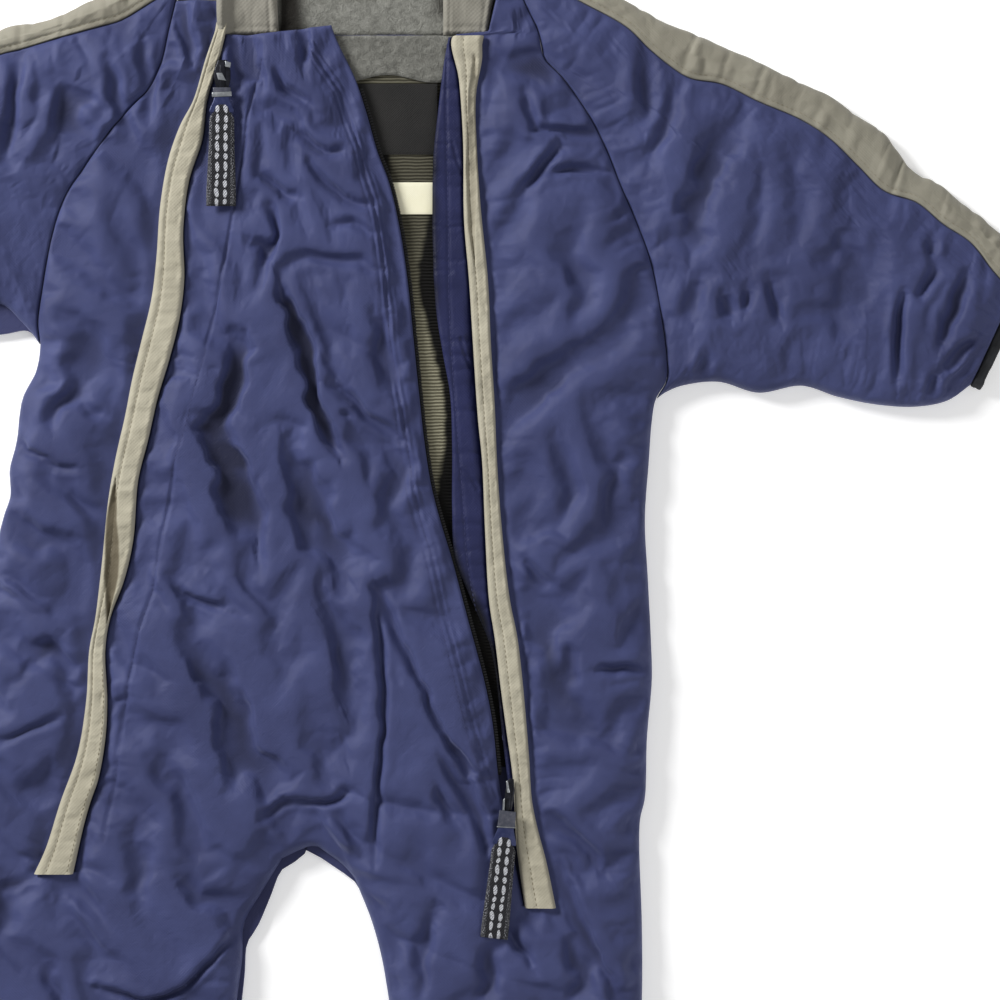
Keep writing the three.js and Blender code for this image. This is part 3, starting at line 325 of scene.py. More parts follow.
# ---- creases, as they run in the photograph: half width, height and lean in millimetres, then the points.
# A lean raises the cloth to the left of the line as it is walked, and lowers it to the right.
creaseRows = {
    "front left and its side": [
        (2.2, -1.2, 1.6, (18, 443), (30, 452), (62, 460)), (2.0, -1.0, 1.2, (40, 462), (60, 467), (80, 465)),
        (4.0, -2.0, 0, (88, 385), (60, 410), (55, 430)), (9.0, -2.2, 0, (100, 320), (95, 350), (86, 390)),
        (2.5, -1.3, 0, (80, 405), (103, 418)), (3.0, -1.4, 0, (68, 493), (98, 515)),
        (2.0, 1.6, -1.2, (0, 582), (20, 594), (45, 609)), (5.0, -1.8, 0, (20, 640), (50, 650), (75, 680)),
        (6.0, -1.6, 0, (0, 690), (30, 670), (60, 640)), (2.4, -1.4, 1.0, (0, 745), (30, 725), (60, 715)),
        (5.0, -1.6, 0, (10, 530), (40, 545), (80, 540)), (5.0, -1.6, 0, (20, 800), (40, 790), (62, 760)),
    ],
    "neck and left sleeve": [
        (10.0, -2.6, 0, (75, 85), (66, 110), (60, 135)), (3.0, 1.8, 0, (55, 90), (42, 130), (30, 155)),
        (3.0, -2.6, 1.4, (180, 0), (186, 30), (193, 60)), (3.5, -2.2, 0, (20, 60), (15, 110), (8, 160)),
        (2.6, -1.6, 0, (110, 60), (118, 100), (130, 130)), (2.6, -1.6, 0, (140, 40), (150, 90), (150, 120)),
        (3.0, -2.8, 0, (232, 35), (236, 55), (240, 82)), (5.0, -3.0, 0, (248, 30), (252, 55), (256, 84)),
        (2.5, -1.8, 0, (300, 28), (304, 44), (302, 62)),
    ],
    "centre panel": [
        (2.6, -1.8, 1.0, (275, 65), (285, 85), (308, 103)),
        (2.4, -1.6, 1.4, (295, 132), (330, 152), (345, 152)),
        (2.4, -1.6, 1.4, (310, 165), (345, 198), (370, 205)),
        (2.6, -1.6, 0, (260, 175), (285, 195), (298, 199)),
        (2.2, -1.2, 0.8, (330, 225), (350, 222), (372, 235)),
        (2.8, -1.1, 0.6, (290, 262), (310, 255), (360, 263), (376, 272)),
        (3.0, -1.8, 0, (253, 240), (262, 246), (270, 255)), (3.4, -1.6, 0, (275, 300), (288, 308), (300, 320)),
        (2.2, -1.6, 1.6, (343, 388), (368, 415), (385, 427), (400, 436)),
        (1.6, -1.0, 0, (340, 412), (352, 416)), (2.4, -1.4, 0, (225, 447), (242, 462), (250, 470)),
        (1.8, -1.2, 0, (206, 369), (218, 373)), (1.8, -1.2, 0, (195, 428), (213, 425)),
        (9.0, -2.9, 0, (229, 350), (238, 380), (220, 425), (232, 470), (250, 540)),
        (9.0, 1.8, 0, (262, 320), (270, 400), (262, 470)),
        (8.0, -2.6, 0, (290, 450), (308, 500), (330, 545), (345, 570)),
        (8.0, 1.6, 0, (330, 440), (352, 500), (380, 560)),
        (3.8, -5.4, -1.8, (284, 296), (297, 335), (306, 365), (314, 398), (326, 428), (338, 458)),
        (5.0, -2.6, 0, (240, 338), (237, 375), (226, 405), (213, 428)),
        (8.0, -2.4, 0, (226, 436), (240, 480), (252, 530)), (4.0, -2.0, 0, (377, 315), (386, 355), (393, 395)),
        (4.0, -2.0, 0, (390, 450), (400, 472), (388, 498)),
        (1.6, -1.3, 1.0, (225, 446), (236, 452), (243, 463)),
        (3.0, -2.0, 0, (270, 210), (277, 235), (266, 262)),
        (2.0, -1.6, 1.8, (183, 592), (198, 600), (222, 608)), (3.0, 1.6, 0, (155, 580), (165, 590), (180, 612)),
        (3.0, 1.6, 0, (228, 580), (240, 596), (262, 618)),
        (10.0, -2.2, 0, (196, 640), (215, 672), (235, 705), (245, 750), (285, 796)),
        (8.0, 2.2, 0, (236, 640), (262, 680), (276, 730), (300, 775)),
        (6.0, 1.4, 0, (165, 640), (190, 700), (215, 760)), (2.4, -1.4, 1.0, (262, 815), (285, 800), (310, 797)),
        (2.2, -1.4, 1.0, (300, 804), (335, 798), (350, 788)), (3.0, 1.8, 0, (325, 820), (338, 832), (352, 848)),
        (2.2, -1.8, -1.0, (375, 590), (382, 660), (383, 740), (378, 780), (377, 820), (375, 860)),
        (2.6, -1.8, 1.2, (379, 586), (402, 640), (430, 701), (452, 745), (472, 787), (488, 848)),
        (2.6, -1.8, 0.8, (440, 755), (465, 795), (488, 845)),
        (2.4, -1.6, 0.8, (450, 740), (470, 770), (490, 778)), (2.4, -1.4, 0, (435, 785), (450, 820)),
        (7.0, -1.8, 0, (330, 600), (345, 650), (352, 710)), (5.0, -1.6, 0, (150, 760), (180, 790), (200, 840)),
        (5.0, -1.4, 0, (300, 880), (330, 860), (360, 862)),
    ],
    "front right": [
        (10.0, -3.2, 0, (506, 64), (530, 74), (556, 84)), (2.4, -1.6, 0, (525, 95), (535, 130), (548, 133)),
        (2.2, -1.8, 1.4, (548, 130), (575, 133), (600, 133)),
        (2.4, -1.8, 1.2, (545, 175), (570, 167), (600, 170)),
        (2.6, -1.8, 0, (525, 190), (545, 165), (560, 150)),
        (7.0, -2.0, 1.6, (500, 418), (520, 400), (540, 385), (570, 355)),
        (2.6, -1.5, 1.0, (524, 560), (543, 580), (552, 583)),
        (9.0, -2.8, 0, (540, 590), (548, 620), (550, 650), (558, 680), (570, 710), (597, 737)),
        (2.4, -1.8, 1.6, (592, 668), (603, 664), (628, 668), (643, 674)),
        (2.2, 1.4, 0, (545, 535), (554, 539), (563, 545)), (7.0, -1.8, 0, (560, 230), (580, 270), (585, 320)),
        (6.0, -1.6, 0, (600, 420), (615, 470), (618, 530)), (5.0, -1.6, 0, (560, 440), (570, 490), (560, 520)),
        (5.0, 1.6, 0, (590, 560), (600, 610), (612, 640)),
    ],
    "right leg": [
        (3.0, -1.8, 1.4, (540, 815), (560, 826), (580, 838), (603, 870)),
        (2.8, -2.4, 1.6, (550, 855), (572, 905), (592, 945), (610, 985), (620, 1000)),
        (3.0, -2.0, 1.0, (505, 925), (520, 945), (535, 965)),
        (6.0, -2.2, 0, (575, 930), (580, 965), (580, 1000)),
        (6.0, -2.4, 0, (487, 940), (488, 970), (487, 1000)),
        (4.0, -1.6, 0, (430, 910), (420, 950), (424, 1000)),
    ],
    "left leg": [
        (1.7, -1.9, 2.6, (100, 985), (145, 998), (183, 988), (205, 963), (217, 950), (243, 927)),
        (7.0, -2.0, 0, (135, 840), (136, 870), (134, 900)), (3.0, 1.6, 0, (85, 875), (98, 886), (113, 900)),
        (3.0, 1.6, 0, (70, 900), (90, 920), (110, 945)), (2.2, -1.6, 1.4, (33, 877), (20, 882), (0, 888)),
        (6.0, -2.0, 0, (0, 930), (12, 905), (20, 880)), (4.0, -1.8, 0, (180, 880), (200, 900), (235, 900)),
        (4.0, -1.6, 0, (50, 960), (60, 1000), (66, 1040)),
    ],
    "right sleeve": [
        (4.0, -2.2, 0, (642, 50), (648, 100), (645, 130)), (4.0, -2.2, 0, (672, 90), (662, 140), (650, 160)),
        (8.0, -2.8, 0, (735, 130), (715, 150), (705, 180), (697, 215), (690, 260)),
        (4.0, -1.8, 0, (697, 280), (694, 300), (693, 318)), (3.0, -1.8, 0, (725, 295), (728, 305), (730, 318)),
        (3.0, -1.6, 0, (747, 290), (745, 300), (743, 312)), (3.0, -1.8, 0, (772, 280), (776, 300), (780, 322)),
        (12.0, -1.8, 0, (850, 225), (848, 280), (845, 345)),
        (2.4, -2.4, 1.8, (905, 290), (900, 320), (898, 345), (898, 380)),
        (3.0, -1.8, 0, (935, 265), (925, 280), (915, 300)), (2.6, -1.6, 0, (932, 240), (931, 255)),
        (3.0, -2.8, 1.6, (968, 275), (950, 320), (943, 342)),
        (2.6, -2.0, 1.0, (975, 340), (960, 355), (945, 370)),
        (2.4, -1.8, 0.8, (978, 355), (965, 370), (953, 385)),
        (2.4, -1.6, 0, (937, 375), (933, 385), (930, 395)), (2.6, -1.6, 0, (710, 358), (705, 368), (700, 378)),
        (6.0, -1.0, 0, (790, 150), (800, 200), (790, 250)), (5.0, -0.8, 0, (760, 160), (762, 210), (748, 250)),
    ],
    "hidden parts": [
        (6.0, -2.4, 0, (-40, 160), (-60, 200), (-70, 250)),
        (6.0, -2.4, 0, (-110, 170), (-118, 220), (-122, 280)),
        (3.6, -2.2, 0, (-165, 150), (-175, 190), (-180, 225)),
        (3.6, -2.2, 0, (-210, 200), (-225, 240), (-226, 270)),
        (3.6, -2.2, 0, (-255, 190), (-258, 230), (-248, 260)),
        (3.6, -2.2, 0, (-20, 200), (-30, 240), (-34, 268)), (3.6, -2.2, 0, (-90, 190), (-84, 230), (-92, 262)),
        (3.6, -2.2, 0, (-140, 230), (-145, 260), (-150, 285)),
        (5.0, -2.2, 0, (60, 1030), (100, 1050), (130, 1090)),
        (5.0, -2.2, 0, (160, 1080), (185, 1060), (200, 1050)),
        (5.0, -2.2, 0, (40, 1160), (70, 1180), (95, 1190)),
        (5.0, -2.2, 0, (140, 1180), (165, 1200), (175, 1215)),
        (5.0, -2.2, 0, (470, 1060), (510, 1080), (530, 1100)),
        (5.0, -2.2, 0, (570, 1130), (600, 1110), (625, 1100)),
        (5.0, -2.2, 0, (440, 1150), (470, 1180), (500, 1200)),
        (5.0, -2.2, 0, (560, 1190), (590, 1210), (600, 1220)),
    ],
}
creases = []
for rows in creaseRows.values():
    for wide, high, lean, *points in rows:
        line = np.array([fromPhoto(px, py) for px, py in points])
        creases.append((evenly(line, max(8, len(line) * 5)), wide, high, lean))

# the padded fronts, in millimetres
puff = {
    "seamTop": 11.9, "height": 3.7, "reach": 17, "dip": 1.7, "dipWide": 3.0, "pucker": 1.6, "puckerLong": 8.5,
    "puckerReach": 12, "crumple": 1.95, "crumpleSize": 36, "small": 0.22, "smallSize": 10, "creases": 2.3,
    "edgeTop": 5.6, "edgeRound": 13, "cuffTop": 9.6, "cuffReach": 16, "gather": 1.6, "floor": 7.9,
    "leastWall": 3.0, "ceiling": 18.2, "rightCalm": 0.42, "rightFrom": 55,
}


def creaseHeights(x, y):
    total = np.zeros(x.shape)
    for line, wide, high, lean in creases:
        near = 5 * wide + 4
        inside = (
            (x > line[:, 0].min() - near) & (x < line[:, 0].max() + near)
            & (y > line[:, 1].min() - near) & (y < line[:, 1].max() + near)
        )
        if not inside.any():
            continue
        px, py = x[inside], y[inside]
        away, run, side = nearest(px, py, [line])
        share = run / lengthOf(line)
        fade = np.sqrt(np.clip(np.sin(np.pi * np.clip(share, 0.02, 0.98)), 0, 1))
        signed = away * side + noise(px, py, 9, 5) * wide * 0.5
        reach = np.abs(signed) / wide
        form = high * (np.exp(-reach ** 2) - 0.32 * bell(reach - 2.1, 1.1))
        form += lean * np.tanh(signed / wide * 1.6) * 0.5 * bell(reach, 4.5)
        total[inside] += form * fade
    return total


def photoLine(*points):
    return smoothLine([fromPhoto(px, py) for px, py in points], 60)


centreStitch = photoLine(
    (303, 35), (315, 50), (330, 70), (341, 95), (352, 130), (362, 160), (370, 190), (377, 230), (383, 270),
    (387, 310), (390, 340), (400, 400), (420, 520), (433, 560), (442, 600), (450, 630), (460, 670), (468, 705),
    (477, 740), (484, 757), (490, 775), (497, 800),
)
zipBandStitch = photoLine(
    (262, 60), (250, 110), (240, 170), (232, 220), (222, 280), (210, 330), (204, 360), (197, 380), (190, 410),
    (182, 440), (175, 460), (165, 510), (163, 540), (158, 560), (151, 595), (146, 610), (141, 625), (137, 640),
    (130, 668), (127, 685), (125, 700), (118, 760), (104, 840),
)
# sewn grooves: depth and half width, and the tucks that the seam pulls up beside it
sewing = {
    "deep": 1.1, "wide": 0.9, "secondAway": 2.9, "secondDeep": 0.45, "secondWide": 0.7, "tuckReach": 3,
    "flapDeep": 1.3, "bandWide": 22, "bandEnd": -110,
}


# Keeps heights between two limits without a flat top or a sharp corner
def softly(heights, low, high, soft=2.0):
    soft = np.maximum(soft, 0.02)
    over = np.maximum(heights - (high - soft), 0)
    under = np.maximum(low + soft - heights, 0)
    return heights - over + soft * (1 - np.exp(-over / soft)) + under - soft * (1 - np.exp(-under / soft))


# Height of the fronts' upper face: padded between seams, creased, puckered and rounded down to the outline
def frontHeights(x, y, turn=0.6, seed=20, crumple=1.0):
    outline, _, _ = nearest(x, y, outlines)
    seam, run, _ = nearest(x, y, innerSeams + outlines)
    gather, gatherRun, _ = nearest(x, y, gatherLines)
    inner = puff["seamTop"] + puff["height"] * (1 - bell(seam, puff["reach"]))
    inner = inner - puff["dip"] * bell(seam, puff["dipWide"])
    wander = run + noise(x, y, 14, seed + 9) * 3
    rib = ridges(wander, seam * 0.18, puff["puckerLong"], seed + 3)
    rib += 0.5 * ridges(wander, seam * 0.3, puff["puckerLong"] * 0.45, seed + 4)
    patchy = 0.6 + 0.6 * noise(x, y, 45, seed + 5)
    inner = inner + puff["pucker"] * rib * patchy * (1 - bell(seam, 2.2)) * np.exp(-seam / puff["puckerReach"])
    inner = inner + puff["creases"] * creaseHeights(x, y)
    # the two zips' bands: sewn down along one line, rounded at the free edge
    band = xAt(centreEdge, y) - x
    inBand = (band > -1) & (band < sewing["bandWide"]) & (y > sewing["bandEnd"])
    if inBand.any():
        sewn, sewnRun, _ = nearest(x, y, [centreStitch], 20)
        inner = inner - inBand * sewing["deep"] * bell(sewn, sewing["wide"])
        inner = inner - inBand * sewing["secondDeep"] * bell(sewn - sewing["secondAway"], sewing["secondWide"])
        tucks = np.abs(noise(sewnRun, sewn * 0.3, 3.4, 71))
        inner = inner + inBand * 0.5 * tucks * bell(sewn, sewing["tuckReach"])
    sewn, sewnRun, _ = nearest(x, y, [zipBandStitch], 20)
    inner = inner - sewing["deep"] * 0.8 * bell(sewn, sewing["wide"])
    inner = inner + 0.45 * np.abs(noise(sewnRun, sewn * 0.3, 3.8, 72)) * bell(sewn, sewing["tuckReach"])
    # the cloth is drawn down beside each flap
    beside = x - xAt(rightFlapOuter, y)
    inner = inner - sewing["flapDeep"] * bell(beside - 1.4, 1.5) * (y < 284) * (y > -150)
    beside = x - xAt(leftFlapInner, y)
    inner = inner - sewing["flapDeep"] * bell(beside - 1.2, 1.4) * (beside > 0) * (y < 150) * (y > -136)
    # the right side lies calmer than the left
    calm = 1 - bell(seam, 8)
    crumple = crumple * (1 - puff["rightCalm"] * smooth((x - puff["rightFrom"]) / 30))
    inner = inner + puff["crumple"] * crumple * mounds(x, y, puff["crumpleSize"], seed, turn, 1.9) * calm
    small = mounds(x, y, puff["smallSize"], seed + 7, turn + 0.5, 1.8)
    inner = inner + puff["small"] * crumple * small * (0.4 + 0.6 * calm)
    ruffle = ridges(gatherRun, gather * 0.12, 5.5, seed + 11)
    inner = inner + puff["gather"] * ruffle * np.exp(-gather / 14)
    inner = softly(inner, puff["floor"] + puff["leastWall"], puff["ceiling"])
    inner = puff["cuffTop"] + (inner - puff["cuffTop"]) * smooth((gather + 3) / puff["cuffReach"])
    rise = np.clip(outline / puff["edgeRound"], 0, 1)
    return puff["edgeTop"] + (inner - puff["edgeTop"]) * np.sqrt(1 - (1 - rise) ** 2)


# ---- meshes
collection = bpy.context.scene.collection


# Leaves the mesh that a piece's modifiers make
def settle(piece):
    finished = bpy.data.meshes.new_from_object(piece.evaluated_get(bpy.context.evaluated_depsgraph_get()))
    piece.modifiers.clear()
    piece.data = finished


def makeObject(name, points, faces, material, uv=None, inner=None):
    mesh = bpy.data.meshes.new(name)
    mesh.from_pydata([tuple(p) for p in np.asarray(points) * mm], [], [tuple(f) for f in faces])
    mesh.shade_smooth()
    if uv is not None:
        layer = mesh.uv_layers.new(name="cloth")
        corners = np.zeros(len(mesh.loops), dtype=np.int32)
        mesh.loops.foreach_get("vertex_index", corners)
        layer.data.foreach_set("uv", (np.asarray(uv)[corners] * mm).ravel())
    # the "inner" attribute: a mask for painted shade, and on the flaps also for their darker underside
    if inner is not None:
        shade = mesh.attributes.new("inner", "FLOAT", "POINT")
        shade.data.foreach_set("value", np.asarray(inner, dtype=np.float32))
    mesh.materials.append(material)
    piece = bpy.data.objects.new(name, mesh)
    collection.objects.link(piece)
    return piece


def bilinear(bottom, top, left, right):
    u, v = runOf(top), runOf(left)
    u = (u / u[-1])[None, :, None]
    v = (v / v[-1])[:, None, None]
    sides = (1 - u) * left[:, None] + u * right[:, None]
    ends = (1 - v) * bottom[None] + v * top[None]
    low = (1 - u) * (1 - v) * bottom[0] + u * (1 - v) * bottom[-1]
    return sides + ends - (low + (1 - u) * v * top[0] + u * v * top[-1])


def fourSided(bottom, top, left, right, spacing):
    across = steps(max(lengthOf(np.array(bottom)), lengthOf(np.array(top))), spacing) + 1
    up = steps(max(lengthOf(np.array(left)), lengthOf(np.array(right))), spacing) + 1
    return bilinear(
        evenly(np.array(bottom, float), across), evenly(np.array(top, float), across),
        evenly(np.array(left, float), up), evenly(np.array(right, float), up),
    )


def runsOf(grid):
    across = np.hypot(*np.moveaxis(np.diff(grid, axis=1), 2, 0))
    up = np.hypot(*np.moveaxis(np.diff(grid, axis=0), 2, 0))
    u = np.concatenate([np.zeros((grid.shape[0], 1)), np.cumsum(across, axis=1)], axis=1)
    v = np.concatenate([np.zeros((1, grid.shape[1])), np.cumsum(up, axis=0)], axis=0)
    return u, v


def sharpen(mesh, rim):
    onRim = np.zeros(len(mesh.vertices), dtype=bool)
    onRim[rim] = True
    ends = np.zeros(len(mesh.edges) * 2, dtype=np.int32)
    mesh.edges.foreach_get("vertices", ends)
    ends = ends.reshape(-1, 2)
    mesh.attributes.new("sharp_edge", "BOOLEAN", "EDGE").data.foreach_set("value", onRim[ends].all(axis=1))


# The four corners of each cell of a grid of point numbers
def cells(at, flip=False):
    corners = [at[:-1, :-1], at[:-1, 1:], at[1:, 1:], at[1:, :-1]]
    return np.stack([corners[0], *corners[:0:-1]] if flip else corners, axis=-1).reshape(-1, 4)


# Whether a grid's cells would face down
def facesDown(a, b, c):
    return (b[0] - a[0]) * (c[1] - a[1]) - (b[1] - a[1]) * (c[0] - a[0]) < 0


# A closed shell: a fine upper face over a grid of points, and a lower face with a point at every few of them
def shell(name, grid, top, under, material, coarse=4, uvGrid=None, inner=None):
    rows, cols = grid.shape[:2]
    low = grid[::coarse, ::coarse]
    lowRows, lowCols = low.shape[:2]
    x, y = grid[..., 0], grid[..., 1]
    topZ = np.broadcast_to(top(x, y) if callable(top) else top, x.shape)
    if callable(under):
        under = under(low[..., 0], low[..., 1], topZ[::coarse, ::coarse])
    lowZ = np.broadcast_to(under, low.shape[:2])
    upper = np.dstack([x, y, topZ]).reshape(-1, 3)
    lower = np.dstack([low[..., 0], low[..., 1], lowZ]).reshape(-1, 3)
    points = np.vstack([upper, lower])
    at = np.arange(rows * cols).reshape(rows, cols)
    lowAt = rows * cols + np.arange(lowRows * lowCols).reshape(lowRows, lowCols)
    faces = cells(at).tolist() + cells(lowAt, flip=True).tolist()
    rims = [
        (at[0], lowAt[0], False), (at[-1], lowAt[-1], True),
        (at[:, 0], lowAt[:, 0], True), (at[:, -1], lowAt[:, -1], False),
    ]
    for fine, wide, flip in rims:
        for k in range(len(wide) - 1):
            part = fine[k * coarse:(k + 1) * coarse + 1].tolist()
            half = len(part) // 2
            fan = [(int(wide[k]), int(wide[k + 1]), part[half])]
            for i in range(coarse):
                fan.append((int(wide[k if i < half else k + 1]), part[i + 1], part[i]))
            faces += [f[::-1] for f in fan] if flip else fan
    if facesDown(grid[0, 0], grid[0, -1], grid[-1, 0]):
        faces = [f[::-1] for f in faces]
    u, v = runsOf(grid)
    flat = np.dstack([u, v]) if uvGrid is None else uvGrid
    uv = np.vstack([flat.reshape(-1, 2), flat[::coarse, ::coarse].reshape(-1, 2)])
    # inner: the painted shade mask, on the upper face only
    if inner is not None:
        inner = np.concatenate([inner.ravel(), inner[::coarse, ::coarse].ravel() * 0])
    piece = makeObject(name, points, faces, material, uv, inner)
    sharpen(piece.data, np.concatenate([at[0], at[-1], at[:, 0], at[:, -1]]))
    piece["clothWide"] = float(u[:, -1].max() * mm)
    piece["clothLong"] = float(v[-1].max() * mm)
    face = np.dstack([x, y, topZ])
    dx, dy = np.diff(face, axis=1)[:-1], np.diff(face, axis=0)[:, :-1]
    piece["clothArea"] = float(np.linalg.norm(np.cross(dx, dy), axis=2).sum() * mm * mm)
    return piece


# the fronts' lower face: its height at the edge, and the least and most thickness, in millimetres
lowerFace = {"edge": 4.3, "thick": 3.6, "thin": 0.8}


def frontUnder(x, y, top):
    outline, _, _ = nearest(x, y, outlines)
    gather, _, _ = nearest(x, y, gatherLines)
    inward = smooth(np.minimum(outline - 1, gather) / puff["edgeRound"])
    floor = lowerFace["edge"] + (puff["floor"] - lowerFace["edge"]) * inward
    return np.maximum(top - lowerFace["thick"], np.minimum(floor, top - lowerFace["thin"]))


def levelGrid(levels, left, right, spacing):
    wide = max(float(np.max(np.abs(right(levels) - left(levels)))), 1)
    u = np.linspace(0, 1, steps(wide, spacing) + 1)[None]
    x = left(levels)[:, None] * (1 - u) + right(levels)[:, None] * u
    return np.dstack([x, np.broadcast_to(levels[:, None], x.shape)])


def levelsOf(low, high, spacing):
    return np.linspace(low, high, steps(high - low, spacing) + 1)


# Softens a shell's rim: the last points of the upper face turn down to the seam
def rolled(grid, heights, drop=1.1, reach=1.6, free=()):
    u, v = runsOf(grid)
    far = np.full(u.shape, 100.0)
    sides = {"left": u, "right": u[:, -1:] - u, "bottom": v, "top": v[-1:] - v}
    edge = np.min([far] + [d for side, d in sides.items() if side not in free], axis=0)
    return heights - drop * (1 - np.sqrt(1 - np.clip(1 - edge / reach, 0, 1) ** 2))


# ---- the fronts' folds, in Blender's cloth simulation: pinned at the seams and held softly by the padding
simulation = {
    "spacing": 3.1, "scale": 12.0, "across": 0.068, "along": 0.02, "pressure": 0.15, "frames": 15, "placedBy": 7,
    "tension": 15.0, "shear": 5.0, "bending": 20.0, "padding": 0.26, "mass": 0.2, "quality": 4, "most": 3.4,
    "mostAside": 1.6, "joinCalm": 8.0, "flapCalm": 9.0,
}
# painted shade in the cloth's main folds, where shade falls: where it starts, over what crease depth, and how
# much
foldShade = {"from": 0.5, "over": 3.8, "most": 0.85}
fronts = {}


def planPanel(name, grid, seed, free=(), turn=1.45, push=1.0, calm=None, crumple=1.0):
    heights = frontHeights(grid[..., 0], grid[..., 1], 1.2, seed, crumple)
    fronts[name] = {
        "grid": grid, "heights": heights, "free": free, "turn": turn, "push": push, "calm": calm,
        "moved": np.zeros((*heights.shape, 3)),
    }


def loosePanel(name, plan):
    scale = simulation["scale"] * mm
    full = np.dstack([plan["grid"], plan["heights"]])
    u, v = runsOf(plan["grid"])
    rows, cols = (int(run.max() / simulation["spacing"]) + 2 for run in (v, u))
    low = resampled(full, rows, cols)
    at = np.arange(rows * cols).reshape(rows, cols)
    faces = cells(at)
    if facesDown(low[0, 0], low[0, -1], low[-1, 0]):
        faces = faces[:, ::-1]
    points = low.reshape(-1, 3)
    # the cut is larger across the folds than the place it lies in, and is drawn into it in the first frames
    turn = plan["turn"]
    along, across = np.array([np.cos(turn), np.sin(turn)]), np.array([-np.sin(turn), np.cos(turn)])
    cut = points.copy()
    cut[:, :2] = (
        np.outer(points[:, :2] @ along, along) * (1 + simulation["along"] * plan["push"])
        + np.outer(points[:, :2] @ across, across) * (1 + simulation["across"] * plan["push"])
    )
    mesh = bpy.data.meshes.new("loose" + name)
    mesh.from_pydata((cut * scale).tolist(), [], faces.tolist())
    piece = bpy.data.objects.new("loose" + name, mesh)
    collection.objects.link(piece)
    piece.shape_key_add(name="Basis")
    placed = piece.shape_key_add(name="placed")
    placed.data.foreach_set("co", (points * scale).ravel().astype(np.float32))
    for share, frameNumber in ((0, 1), (1, simulation["placedBy"])):
        placed.value = share
        placed.keyframe_insert("value", frame=frameNumber)
    held = piece.vertex_groups.new(name="held")
    edge = np.zeros((rows, cols), dtype=bool)
    edge[[0, -1]] = edge[:, [0, -1]] = True
    held.add(at[edge].tolist(), 1.0, "REPLACE")
    held.add(at[~edge].tolist(), simulation["padding"], "REPLACE")
    cloth = piece.modifiers.new("cloth", "CLOTH")
    form = cloth.settings
    form.vertex_group_mass = "held"
    form.pin_stiffness = 1.0
    form.quality = simulation["quality"]
    form.mass = simulation["mass"]
    form.tension_stiffness = form.compression_stiffness = simulation["tension"]
    form.shear_stiffness = simulation["shear"]
    form.bending_stiffness = simulation["bending"]
    form.use_pressure = True
    form.uniform_pressure_force = simulation["pressure"]
    form.effector_weights.gravity = 0
    cloth.collision_settings.use_collision = False
    cloth.point_cache.frame_end = simulation["frames"]
    return piece, low


def simulateFronts():
    scale = simulation["scale"] * mm
    made = {name: loosePanel(name, plan) for name, plan in fronts.items()}
    scene = bpy.context.scene
    for step in range(1, simulation["frames"] + 1):
        scene.frame_set(step)
    ready = bpy.context.evaluated_depsgraph_get()
    for name, (piece, low) in made.items():
        found = np.zeros(low.size)
        piece.evaluated_get(ready).data.vertices.foreach_get("co", found)
        moved = found.reshape(low.shape) / scale - low
        plan = fronts[name]
        moved = resampled(moved, *plan["heights"].shape)
        aside, limit = np.hypot(moved[..., 0], moved[..., 1]), simulation["mostAside"]
        moved[..., :2] *= (limit * np.tanh(aside / limit) / np.maximum(aside, 1e-6))[..., None]
        moved[..., 2] = simulation["most"] * np.tanh(moved[..., 2] / simulation["most"])
        u, v = runsOf(plan["grid"])
        for end, away in (("bottom", v), ("top", v[-1:] - v)):
            if end in plan["free"]:
                moved *= smooth(away / simulation["joinCalm"])[..., None]
        if plan["calm"]:
            moved *= smooth(plan["calm"](plan["grid"]) / simulation["flapCalm"])[..., None]
        plan["moved"] = moved
        rise = np.abs(moved[..., 2])
        print(f"{name}: the cloth moved {rise.mean():.2f} mm on average, {rise.max():.2f} mm at most")
        loose, keys = piece.data, piece.data.shape_keys.animation_data.action
        bpy.data.objects.remove(piece)
        bpy.data.meshes.remove(loose)
        bpy.data.actions.remove(keys)
    scene.frame_set(1)


# The same field at another number of points, on a smooth curve through the given ones
def resampled(values, *counts):
    for axis, count in enumerate(counts):
        held = np.moveaxis(values, axis, 0)
        held = np.concatenate([2 * held[:1] - held[1:2], held, 2 * held[-1:] - held[-2:-1]])
        place = np.linspace(0, len(held) - 3, count)
        first = np.minimum(place.astype(int), len(held) - 4)
        t = (place - first).reshape(-1, *[1] * (values.ndim - 1))
        a, b, c, d = (held[first + k] for k in range(4))
        square, cube = (2 * a - 5 * b + 4 * c - d) * t ** 2, (3 * b - a - 3 * c + d) * t ** 3
        values = np.moveaxis(0.5 * (2 * b + (c - a) * t + square + cube), 0, axis)
    return values


def frontPanel(name, material):
    plan = fronts[name]
    grid = plan["grid"] + plan["moved"][..., :2]
    heights = plan["heights"] + plan["moved"][..., 2]
    outline, _, _ = nearest(plan["grid"][..., 0], plan["grid"][..., 1], outlines, 30)
    rise = np.sqrt(1 - (1 - np.clip(outline / 9, 0, 1)) ** 2)
    highest = puff["edgeTop"] + (puff["ceiling"] - puff["edgeTop"]) * rise
    lowest = np.minimum(plan["heights"], puff["floor"] + 2.4)
    heights = softly(heights, lowest, highest, np.minimum(1.6, (highest - lowest) / 3))
    heights = rolled(grid, heights, free=plan["free"])
    # painted shade: the cloth's colour darkens where the placed creases run deep
    below = -creaseHeights(plan["grid"][..., 0], plan["grid"][..., 1])
    deep = smooth((below - foldShade["from"]) / foldShade["over"]) * foldShade["most"]
    return shell(name, grid, heights, frontUnder, material, inner=deep)


# ---- materials
# A new node. An input given as another node's socket is linked to it.
def addNode(tree, kind, inputs=None, **settings):
    made = tree.nodes.new(kind)
    for key, value in settings.items():
        setattr(made, key, value)
    for key, value in (inputs or {}).items():
        if isinstance(value, bpy.types.NodeSocket):
            tree.links.new(value, made.inputs[key])
        else:
            made.inputs[key].default_value = value
    return made


def maths(tree, operation, *values):
    return addNode(tree, "ShaderNodeMath", dict(enumerate(values)), operation=operation).outputs[0]


